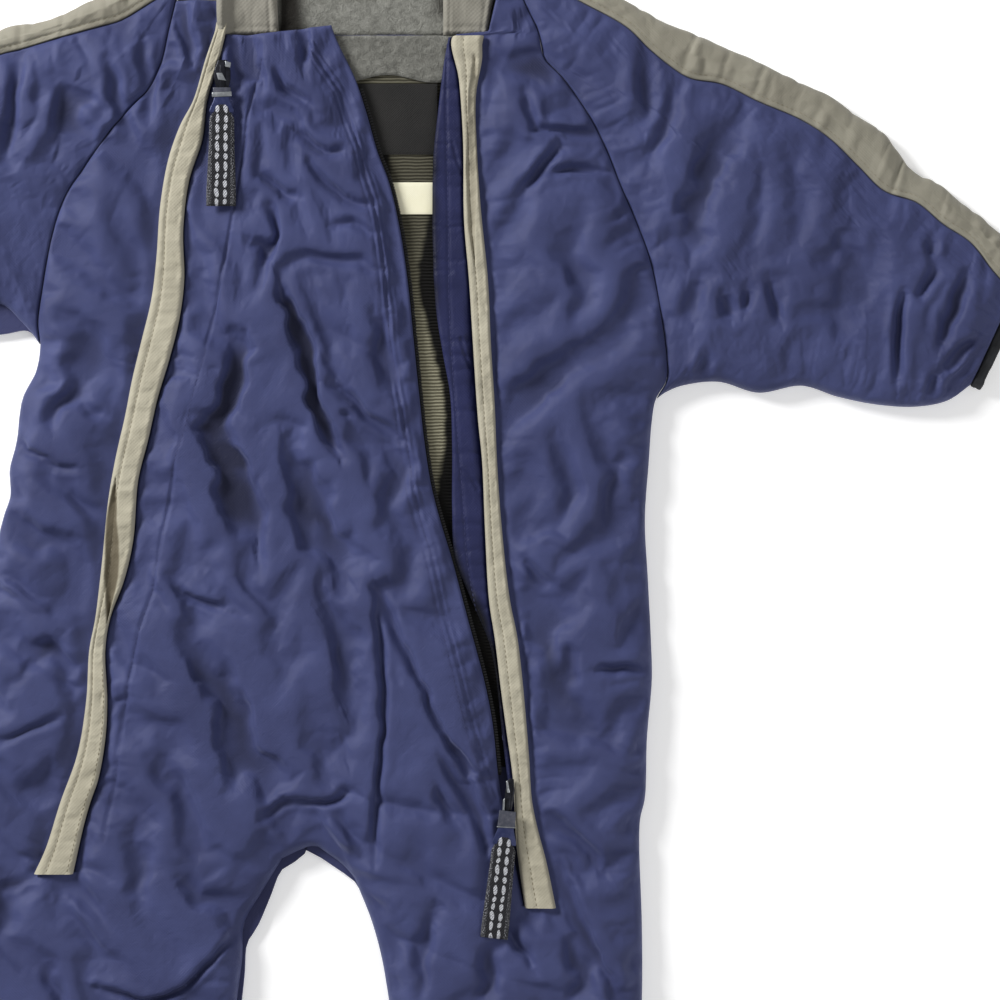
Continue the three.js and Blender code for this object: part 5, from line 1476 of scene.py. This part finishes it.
def facingHeights(grid, seed):
    x, y = grid[..., 0], grid[..., 1]
    top = np.maximum(levelAlong(x, y, seed, 25) - facingForm["drop"], puff["floor"] + facingForm["thick"])
    share = np.linspace(0, 1, x.shape[1])[None]
    folds = ridges(y, share * 3, 7, seed + 1)
    top = top + facingForm["pucker"] * folds * (0.4 + share) + 0.35 * noise(y, share, 28, seed + 2)
    sewn, _, _ = nearest(x, y, [facingStitch], 20)
    top = top - 0.5 * bell(sewn, 0.7)
    for line in facingFolds:
        away, _, _ = nearest(x, y, [line], 12)
        top = top - 0.55 * bell(away, 0.6) + 0.25 * bell(away - 1.6, 0.8)
    # it dives under the flap
    away = xAt(rightFlapInner, y) - x
    top = top - 1.8 * bell(away, 2.6) * smooth((y - 40) / 40) * smooth((160 - y) / 30)
    top = np.maximum(top, 8.6)
    return rolled(grid, top, 1.3, 1.8)


facingGrid = levelGrid(levelsOf(-92, 282, 1.1), column(facingEdge), column(rightFlapInner, -halfGap), 0.9)
facing = shell(
    "zipFacing", facingGrid, facingHeights(facingGrid, 200),
    lambda x, y, top: np.maximum(top - 2.0, 8.0), navyFacingShaded,
    inner=facingShade(facingGrid[..., 0], facingGrid[..., 1]),
)
declareLaid(facing, "zip_facing_right", "zip_facing_lower", slot="navy_cloth", on=["back_right"], held="folded")

tapeGrid = levelGrid(levelsOf(-88, 257, 1.5), column(centreEdge, -8.8), column(centreEdge, 1.6), 1.2)
tape = shell("zipTape", tapeGrid, 7.4, 6.7, blackTape)
declareLaid(tape, "zip_tape_centre", slot="black_tape", on=["front_centre"])

# ---- inside of the back: ribbed knit, fleece yoke, label and size tag
liningForm = {"top": 5.2, "rise": 0.9, "under": 4.3, "low": -84, "high": 282.8}


def liningLeft(y):
    return np.minimum(xAt(centreEdge, y) - 12, np.where(y > 200, -45 + (283 - y) * 0.2, 40))


liningGrid = levelGrid(
    levelsOf(liningForm["low"], liningForm["high"], 1.5), liningLeft, column(facingEdge, 8), 0.9,
)
# where light reaches the knit: row, left and right edge in the photograph, and how much
litRows = np.array([
    (60, 340, 440, 0.4), (150, 388, 434, 0.3), (182, 392, 434, 0.26), (214, 400, 428, 0.3), (240, 403, 424, 0.34),
    (262, 406, 418, 0.5), (285, 408, 418, 0.65), (300, 410, 421, 0.8), (320, 411, 425, 0.9), (340, 413, 430, 1),
    (370, 416, 438, 1), (400, 418, 444, 1), (430, 421, 445, 1), (450, 424, 443, 0.95), (470, 427, 440, 0.8),
    (485, 430, 438, 0.6), (500, 433, 436, 0.3), (515, 435, 436, 0), (800, 435, 436, 0),
])


# painted shade on the knit: 1 where it lies in shade, lower in the lit column
def unlit(x, y):
    left, level = fromPhoto(litRows[:, 1], litRows[:, 0])
    right, _ = fromPhoto(litRows[:, 2], litRows[:, 0])
    order = np.argsort(level)
    wander = noise(x, y, 4, 225) * 0.6
    a, b, most = (np.interp(y, level[order], row[order]) for row in (left, right, litRows[:, 3]))
    return 1 - most * smooth((x - a + wander + 1.2) / 2.4) * smooth((b - x + wander + 1.6) / 3.2)


def liningHeights(x, y):
    gapMiddle = (xAt(centreEdge, y) + xAt(facingEdge, y)) / 2 - 3
    swell = bell(x - gapMiddle, 7) * smooth((188 - y) / 12)
    return liningForm["top"] + liningForm["rise"] * swell + 0.1 * noise(x, y, 12, 220)


lining = shell(
    "knitLining", liningGrid, liningHeights, liningForm["under"], knit,
    inner=unlit(liningGrid[..., 0], liningGrid[..., 1]),
)
declareLaid(lining, "back_lining", slot="knit_lining", on=["back_left", "back_right"])


yokeForm = {"left": -44.0, "right": 50.0, "low": 261.5, "top": 7.4, "under": 5.6, "shade": 0.22}


# Two gentle waves along the yoke's lower edge
def yokeLow(x):
    wide = yokeForm["right"] - yokeForm["left"]
    return yokeForm["low"] + 2 * np.sin((x - yokeForm["left"]) / wide * 4 * np.pi)


yokeX = np.linspace(yokeForm["left"], yokeForm["right"], 97)
yokeGrid = bilinear(
    np.column_stack([yokeX, yokeLow(yokeX)]), np.column_stack([yokeX, yokeX * 0 + neckY]),
    *(
        np.column_stack([np.full(25, end), np.linspace(yokeLow(end), neckY, 25)])
        for end in (yokeForm["left"], yokeForm["right"])
    ),
)
pucker = bell(yokeGrid[..., 0] - 21, 2.2) * smooth((272 - yokeGrid[..., 1]) / 9)
yokeTop = yokeForm["top"] + 0.5 * noise(yokeGrid[..., 0], yokeGrid[..., 1], 3.2, 230) - 1.0 * pucker
# the whole yoke is tinted a little towards the painted shadow colour
yoke = shell(
    "neckYoke", yokeGrid, rolled(yokeGrid, yokeTop, 0.9, 1.4), yokeForm["under"], fleece,
    inner=yokeGrid[..., 0] * 0 + yokeForm["shade"],
)
declareLaid(yoke, "neck_yoke", slot="fleece", on=["back_lining"])


patchForm = {"under": 5.6, "top": 6.4}


def patch(name, corners, material, node, slot, seed):
    a, b, c, d = corners
    grid = fourSided([a, b], [d, c], [a, d], [b, c], 1.2)
    top = patchForm["top"] - 0.08 + 0.12 * noise(grid[..., 0], grid[..., 1], 8, seed)
    piece = shell(name, grid, rolled(grid, top, 0.25, 0.8), patchForm["under"], material)
    declareLaid(piece, node, slot=slot, on=["back_lining"])
    return piece


label = patch(
    "neckLabel", [(-24, 223.5), (39.5, 223.5), (39.5, 259), (-24, 259)], blackTape, "label", "black_tape", 240,
)
patch("sizeTag", [(8, 193.5), (38, 193.5), (38, 209.5), (15, 209.5)], tagCloth, "size_tag", "cream_tag", 250)
print("inside is made")

# ---- stand collar: the open back, and the two front ends laid on it
collarLevels = levelsOf(283.0, 327.5, 1.4)


def collarLeftEdge(y):
    return np.minimum(np.maximum(xAt(sideLeft, y), -94.5) + 0.4, -90)


def collarRightEdge(y):
    return np.minimum(xAt(sideRight, y), 88) - 0.4 - np.maximum(0, y - 318) * 0.35


collarGrid = levelGrid(collarLevels, collarLeftEdge, collarRightEdge, 1.6)
cx, cy = collarGrid[..., 0], collarGrid[..., 1]
collarTop = 4.7 + 0.35 * noise(cx, cy, 3.4, 260) + 0.5 * noise(cx, cy, 18, 261)
# the shadows of the two front ends
inShadow = smooth((cx + 41) / 2) * smooth((-22 - cx - 0.1 * (cy - 283)) / 9)
inShadow += 0.7 * smooth((cx - 33) / 9) * smooth((cy - 288) / 10)
collarBack = shell(
    "collarBack", collarGrid, rolled(collarGrid, collarTop, 1.8, 3.0), 0.0, fleece, inner=inShadow,
)
declareLaid(collarBack, "collar_back", slot="fleece", on=[])
collarOuterLeft = np.array(
    [(-89, 327.5), (-89, 317), (-81, 309), (-70.8, 301), (-70.8, 296), (-70.4, 283.4)], float,
)
collarOuterRight = np.array([(72, 327.5), (72.5, 318), (66.8, 297), (64.6, 283.3)], float)


def collarEnd(name, node, left, right, low, seed):
    grid = levelGrid(levelsOf(low, 327, 1.1), left, right, 0.9)
    x, y = grid[..., 0], grid[..., 1]
    share = np.linspace(0, 1, grid.shape[1])[None]
    top = 9.3 + 1.2 * np.sin((y - 283.2) / 44.3 * np.pi) + 0.5 * noise(x, y, 9, seed)
    top = top + 0.35 * ridges(x, y * 0.6, 5, seed + 1)
    top = top + 4.8 * smooth((-62 - x) / 6)
    for line in (0.14, 0.86):
        top = top - 0.55 * bell(share - line, 0.03)
    top = top - 0.7 * bell(y - low - 3.6, 0.9)
    piece = shell(name, grid, rolled(grid, top, 2.2, 3.0), 5.3, collarCloth)
    declareLaid(piece, node, slot="grey_stripe", on=["collar_back"])


collarEnd(
    "collarLeft", "collar_left", column(collarOuterLeft), lambda y: -40 - (y - 283.8) * 0.05, 283.4, 270,
)
collarEnd("collarRight", "collar_right", lambda y: y * 0 + 42.5, column(collarOuterRight), 283.3, 280)
print("collar is made")

# ---- gathered bands at the sleeve and leg ends, each a flattened ring
bandForm = {"depth": 5.5, "height": 9.0, "wall": 2.4, "gather": 0.55, "around": 220}


def band(name, node, start, end, seed):
    start, end = np.array(start, float), np.array(end, float)
    long = float(np.hypot(*(end - start)))
    along = (end - start) / long
    outward = np.array([along[1], -along[0]])
    origin = start + outward * 0.35
    count = bandForm["around"]
    half, radius = long / 2, bandForm["height"] / 2
    straight = 2 * (long - 2 * radius)
    whole = straight + 2 * np.pi * radius
    rings, uvs = [], []

    def section(inset, far, gather):
        ring, uv = [], []
        for k in range(count):
            s = whole * k / count
            r = radius - inset
            if s < straight / 2:
                px, pz = -half + radius + s, -r
            elif s < straight / 2 + np.pi * radius:
                turn = (s - straight / 2) / radius
                px, pz = half - radius + r * math.sin(turn), -r * math.cos(turn)
            elif s < straight + np.pi * radius:
                px, pz = half - radius - (s - straight / 2 - np.pi * radius), r
            else:
                turn = (s - straight - np.pi * radius) / radius
                px, pz = -half + radius - r * math.sin(turn), r * math.cos(turn)
            wave = float(noise(s * 1.0, far * 0.25, 3.1, seed)) * gather
            lift = wave if pz > 0 else 0.0
            out = far + 0.5 * float(noise(s, 3.0, 4.2, seed + 1)) * (1 if far > 1 else 0)
            spot = origin + along * (half + px) + outward * min(max(out, 0.0), bandForm["depth"])
            ring.append((spot[0], spot[1], max(radius + pz + lift - (0.5 if pz > 0 else 0), 0.0)))
            uv.append((s, far))
        return ring, uv

    depth = bandForm["depth"]
    for inset, far, gather in (
        (0.5, 0.0, 0.3), (0.0, 0.6, 0.8), (-0.1, 1.6, 1.0), (0.25, 2.6, 0.8), (0.0, 3.6, 1.0), (0.0, 4.6, 0.9),
        (0.5, depth, 0.6), (1.4, depth, 0.4), (2.2, 4.9, 0.3), (bandForm["wall"], 3.0, 0.2),
        (bandForm["wall"], 0.6, 0.2), (1.6, 0.0, 0.2),
    ):
        ring, uv = section(inset, far, gather * bandForm["gather"])
        rings.append(ring)
        uvs.append(uv)
    piece = ringed(name, rings, binding, uvs, endless=True)
    piece["clothWide"] = whole * mm
    piece["clothLong"] = depth * mm * 2.1
    piece["clothArea"] = whole * depth * 1.3 * mm * mm
    declareLaid(piece, node, slot="black_binding", on=[], held="gathered")


band("cuffBandRight", "cuff_right", cuffRight[0], cuffRight[1], 300)
band("cuffBandLeft", "cuff_left", cuffLeft[1], cuffLeft[0], 310)
band("legBandLeft", "leg_cuff_left", (-184, -318), (-76.2, -318), 320)
band("legBandRight", "leg_cuff_right", (33.5, -321), (133.5, -321), 330)
print("bands are made")

# ---- zip pulls: slider, plate and webbing loop, each turning on its slider
pulls = {
    "left": {
        "head": (-67.5, 256.5), "tail": (-68, 196.5), "sliderWide": 8, "sliderLong": 13, "plate": 13.5,
        "eye": 0.26, "bar": 2.4, "web": 12.5, "flare": 1.15, "rest": 16.0,
        # the last entry: small pale blocks, painted highlights where the slider glints
        "wornAndGlints": (((226, 62), (232, 64), (231, 69), (226, 68)), ((217, 74), (223, 74), (227, 82), (219, 81))),
    },
    "right": {
        "head": (75, -104), "tail": (68, -168.5), "sliderWide": 4.6, "sliderLong": 15, "plate": 18, "eye": 0.5,
        "bar": 0.6, "web": 12, "flare": 1.12, "rest": 15.8,
        # the last entry: small pale blocks, painted highlights where the slider glints
        "wornAndGlints": (
            ((506, 780), (508, 780), (510, 792), (507, 792)), ((503, 799), (505, 797), (504, 815), (502, 815)),
        ),
    },
}


def bevelled(name, outline, z0, z1, material, soften=0.35):
    count = len(outline)
    points = [(x, y, z0) for x, y in outline] + [(x, y, z1) for x, y in outline]
    faces = [list(range(count))[::-1], list(range(count, 2 * count))]
    faces += [[i, (i + 1) % count, count + (i + 1) % count, count + i] for i in range(count)]
    pairs = zip(outline, [*outline[1:], outline[0]])
    if sum(a[0] * b[1] - b[0] * a[1] for a, b in pairs) < 0:
        faces = [f[::-1] for f in faces]
    piece = makeObject(name, points, faces, material)
    edge = piece.modifiers.new("softEdge", "BEVEL")
    edge.width = soften * mm
    edge.segments = 3
    edge.limit_method = "NONE"
    settle(piece)
    return piece


def joined(name, parts):
    bpy.ops.object.select_all(action="DESELECT")
    for part in parts:
        part.select_set(True)
    bpy.context.view_layer.objects.active = parts[0]
    bpy.ops.object.join()
    parts[0].name = name
    return parts[0]


def zipPull(side):
    form = pulls[side]
    head, tail = np.array(form["head"], float), np.array(form["tail"], float)
    long = float(np.hypot(*(tail - head)))
    down = (tail - head) / long
    rest = form["rest"]

    def laid(rows):
        return [(head[0] + down[0] * far - down[1] * a, head[1] + down[1] * far + down[0] * a) for a, far in rows]

    h, s = form["sliderWide"] / 2, form["sliderLong"]
    body = bevelled("zipSlider" + side.title(), laid([
        (-h * 0.55, -s), (h * 0.55, -s), (h, -s * 0.6), (h, -s * 0.25), (h * 0.7, 2), (-h * 0.7, 2),
        (-h, -s * 0.25), (-h, -s * 0.6),
    ]), rest, rest + 1.3, darkMetal, 0.3)
    bridge = bevelled("bridge", laid([
        (-h * 0.32, -s * 0.8), (h * 0.32, -s * 0.8), (h * 0.32, 1.6), (-h * 0.32, 1.6),
    ]), rest + 1.1, rest + 1.8, darkMetal, 0.25)
    # painted highlights: small pale metal blocks where the slider glints
    wornAndGlints = [
        bevelled("wornAndGlints", [fromPhoto(*point) for point in points], rest + 1.2, rest + 2.0, paleMetal, 0.25)
        for points in form["wornAndGlints"]
    ]
    slider = joined("zipSlider" + side.title(), [body, bridge, *wornAndGlints])
    declare(slider, "garment", "zip_metal", f"zip_slider_{side}")

    n, w, p = form["web"] * 0.28, form["web"] / 2, form["plate"]
    plate = bevelled("pullPlate", laid([
        (-n, 1), (n, 1), (w * 0.55, p * 0.3), (w * 0.66, p * 0.55), (w * 0.98, p * 0.9), (w * 0.98, p),
        (-w * 0.98, p), (-w * 0.98, p * 0.9), (-w * 0.66, p * 0.55), (-w * 0.55, p * 0.3),
    ]), rest + 2.1, rest + 3.3, paintedMetal, 0.35)
    eyeEnd = p * form["eye"]
    eye = bevelled("pullEye", laid([
        (-n * 1.25, 1), (n * 1.25, 1), (n * 1.3, eyeEnd), (-n * 1.3, eyeEnd),
    ]), rest + 2.3, rest + 3.5, greyMetal, 0.3)
    bar = bevelled("pullBar", laid([
        (-n * 1.4, eyeEnd), (n * 1.4, eyeEnd - 0.5), (n * 1.4, eyeEnd + form["bar"] - 0.5),
        (-n * 1.4, eyeEnd + form["bar"]),
    ]), rest + 2.2, rest + 3.7, paleMetal, 0.3)
    plate = joined("zipPull" + side.title(), [plate, eye, bar])
    declare(plate, f"pull_{side}", "zip_metal", f"zip_pull_{side}")

    # the webbing comes out of the plate's opening under a round top
    far = np.linspace(p - 4.4, long, 73)
    wide = np.interp(far / long, [0, 0.5, 0.88, 1], [w * 0.9, w, w * form["flare"], w * form["flare"]])
    round = 1 - np.clip((far - p + 4.4) / 3.6, 0, 1)
    wide = wide * np.interp(far - p, [-1, 2.5], [0.66, 1]) * np.sqrt(1 - round ** 2) + 0.15
    share = np.linspace(-1, 1, 17)
    acrossGrid = wide[:, None] * share[None]
    farGrid = np.repeat(far[:, None], 17, axis=1)
    grid = np.dstack([
        head[0] + down[0] * farGrid - down[1] * acrossGrid, head[1] + down[1] * farGrid + down[0] * acrossGrid,
    ])
    arch = 0.25 * np.cos(farGrid / 7) * 0.5 + 0.12 * noise(farGrid, acrossGrid, 5, 400)
    top = rolled(grid, rest + 3.9 + arch, 1.3, 2.0)
    loop = shell(
        "zipWebbing" + side.title(), grid, top, rest + 1.7, webbing,
        uvGrid=np.dstack([acrossGrid, farGrid]),
    )
    declare(loop, f"pull_{side}", "webbing", f"zip_webbing_{side}")


for side in pulls:
    zipPull(side)
print("zip pulls are made")


# ---- stitches and zip teeth, set along lines on the cloth
def makeRowTree(name, oneKind, oneInputs):
    tree, given, out = newGroup(name, [
        ("Geometry", "NodeSocketGeometry", None), ("Spacing", "NodeSocketFloat", 0.0025),
        ("Length", "NodeSocketFloat", 0.0018), ("Width", "NodeSocketFloat", 0.0005),
        ("Height", "NodeSocketFloat", 0.0004), ("Material", "NodeSocketMaterial", None),
    ], [("Geometry", "NodeSocketGeometry")], "GeometryNodeTree")
    curve = addNode(tree, "GeometryNodeMeshToCurve", {"Mesh": given["Geometry"]}).outputs["Curve"]
    spaced = addNode(
        tree, "GeometryNodeResampleCurve", {"Curve": curve, "Length": given["Spacing"]}, mode="LENGTH",
    ).outputs["Curve"]
    tangent = addNode(tree, "GeometryNodeInputTangent").outputs["Tangent"]
    turned = addNode(tree, "FunctionNodeAlignRotationToVector", {"Vector": tangent}, axis="X")
    one = addNode(tree, oneKind, oneInputs).outputs["Mesh"]
    sizes = {"X": given["Length"], "Y": given["Width"], "Z": given["Height"]}
    scale = addNode(tree, "ShaderNodeCombineXYZ", sizes).outputs["Vector"]
    placed = addNode(tree, "GeometryNodeInstanceOnPoints", {
        "Points": spaced, "Instance": one, "Rotation": turned.outputs["Rotation"], "Scale": scale,
    }).outputs["Instances"]
    real = addNode(tree, "GeometryNodeRealizeInstances", {"Geometry": placed}).outputs["Geometry"]
    painted = addNode(tree, "GeometryNodeSetMaterial", {"Geometry": real, "Material": given["Material"]})
    return sendOut(tree, out, Geometry=painted.outputs["Geometry"])


stitchTree = makeRowTree("stitchRow", "GeometryNodeMeshIcoSphere", {"Radius": 0.5, "Subdivisions": 1})
teethTree = makeRowTree("zipTeethRow", "GeometryNodeMeshCube", {"Size": (1, 1, 1)})


def surfaceOf(*pieces):
    trees = []
    for piece in pieces:
        mesh = piece.data
        trees.append(BVHTree.FromPolygons([v.co for v in mesh.vertices], [p.vertices for p in mesh.polygons]))
    return trees


def heightsOn(trees, line):
    found = []
    for x, y in line:
        hits = [t.ray_cast(Vector((x * mm, y * mm, 0.05)), Vector((0, 0, -1)))[0] for t in trees]
        z = [h.z for h in hits if h is not None]
        found.append(max(z) if z else None)
    return found


# Stitches or teeth along lines, on the pieces that carry them or at one height
def rowsAlong(name, lines, hosts, tree, values, flatAt=None):
    points, edges = [], []
    trees = surfaceOf(*hosts) if hosts else []
    for line in lines:
        line = evenly(np.array(line, float), max(4, int(lengthOf(np.array(line, float)) / 1.5)))
        heights = heightsOn(trees, line) if hosts else [flatAt * mm] * len(line)
        last = None
        for (x, y), z in zip(line, heights):
            if z is None:
                last = None
                continue
            points.append((x * mm, y * mm, z))
            if last is not None:
                edges.append((last, len(points) - 1))
            last = len(points) - 1
    mesh = bpy.data.meshes.new(name)
    mesh.from_pydata(points, edges, [])
    piece = bpy.data.objects.new(name, mesh)
    collection.objects.link(piece)
    modifier = piece.modifiers.new("row", "NODES")
    modifier.node_group = tree
    for item in tree.interface.items_tree:
        if item.item_type == "SOCKET" and item.in_out == "INPUT" and item.name in values:
            modifier[item.identifier] = values[item.name]
    settle(piece)
    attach(piece, "garment")


stitches = {
    "navy": {"Spacing": 0.0026, "Length": 0.0019, "Width": 0.00042, "Height": 0.0003, "Material": navyThread},
    "taupe": {"Spacing": 0.0026, "Length": 0.0019, "Width": 0.00045, "Height": 0.0003, "Material": taupeThread},
    "teeth": {"Spacing": 0.0014, "Length": 0.0008, "Width": 0.0016, "Height": 0.0012, "Material": blackPlastic},
}


def between(a, b, share, low, high, count=160):
    y = np.linspace(high, low, count)
    return np.column_stack([xAt(a, y) * (1 - share) + xAt(b, y) * share, y])


for name, lines, host, thread, slot in (
    (
        "Centre", [centreStitch, offset(centreStitch, -4), zipBandStitch], panels["frontCentre"], "navy",
        "navy_cloth",
    ),
    ("FlapLeft", [
        between(leftFlapOuter, leftFlapInner, 0.3, -135, 284),
        between(leftFlapOuter, leftFlapInner, 0.84, -135, -35),
    ], flapLeft, "taupe", "grey_flap"),
    ("FlapRight", [between(rightFlapInner, rightFlapOuter, 0.38, -152, 280)], flapRight, "taupe", "grey_flap"),
    ("Facing", [facingStitch], facing, "navy", "navy_cloth"),
    ("SleeveRight", [offset(stripeLowerRight, 2.6)[4:-4]], stripeRight, "taupe", "grey_stripe"),
    ("SleeveLeft", [offset(stripeLowerLeft, -2.6)[4:-4]], stripeLeft, "taupe", "grey_stripe"),
):
    rowsAlong("stitches" + name, lines, [host], stitchTree, stitches[thread])
rowsAlong(
    "stitchesBackSeam", [shifted(backInnerLeft[:60], -2.2)], [], stitchTree, stitches["navy"],
    0.12,
)
rowsAlong(
    "stitchesLabel", [[(-23, 258), (38.5, 258)], [(38.5, 224.5), (-23, 224.5)]], [label], stitchTree,
    {**stitches["navy"], "Material": blackTape, "Spacing": 0.002},
)
teethLine = shifted(stretch(centreEdge, 256, -86), 1.2)
rowsAlong("zipTeeth", [teethLine], [], teethTree, stitches["teeth"], 7.9)
print("stitches and teeth are made")

# ---- floor
bpy.ops.mesh.primitive_plane_add(size=6, location=(0, 0, -0.0002))
floor = bpy.context.object
floor.name = "floor"
floorFinish, _, floorShader, _ = baseMaterial("paleFloor", 0.9, specular=0.1)
for label, value in (
    ("Base Color", colourRow(studio["floor"])), ("Emission Color", colourRow((1, 1, 1))),
    ("Emission Strength", studio["floorGlow"]),
):
    floorShader.inputs[label].default_value = value
floor.data.materials.append(floorFinish)
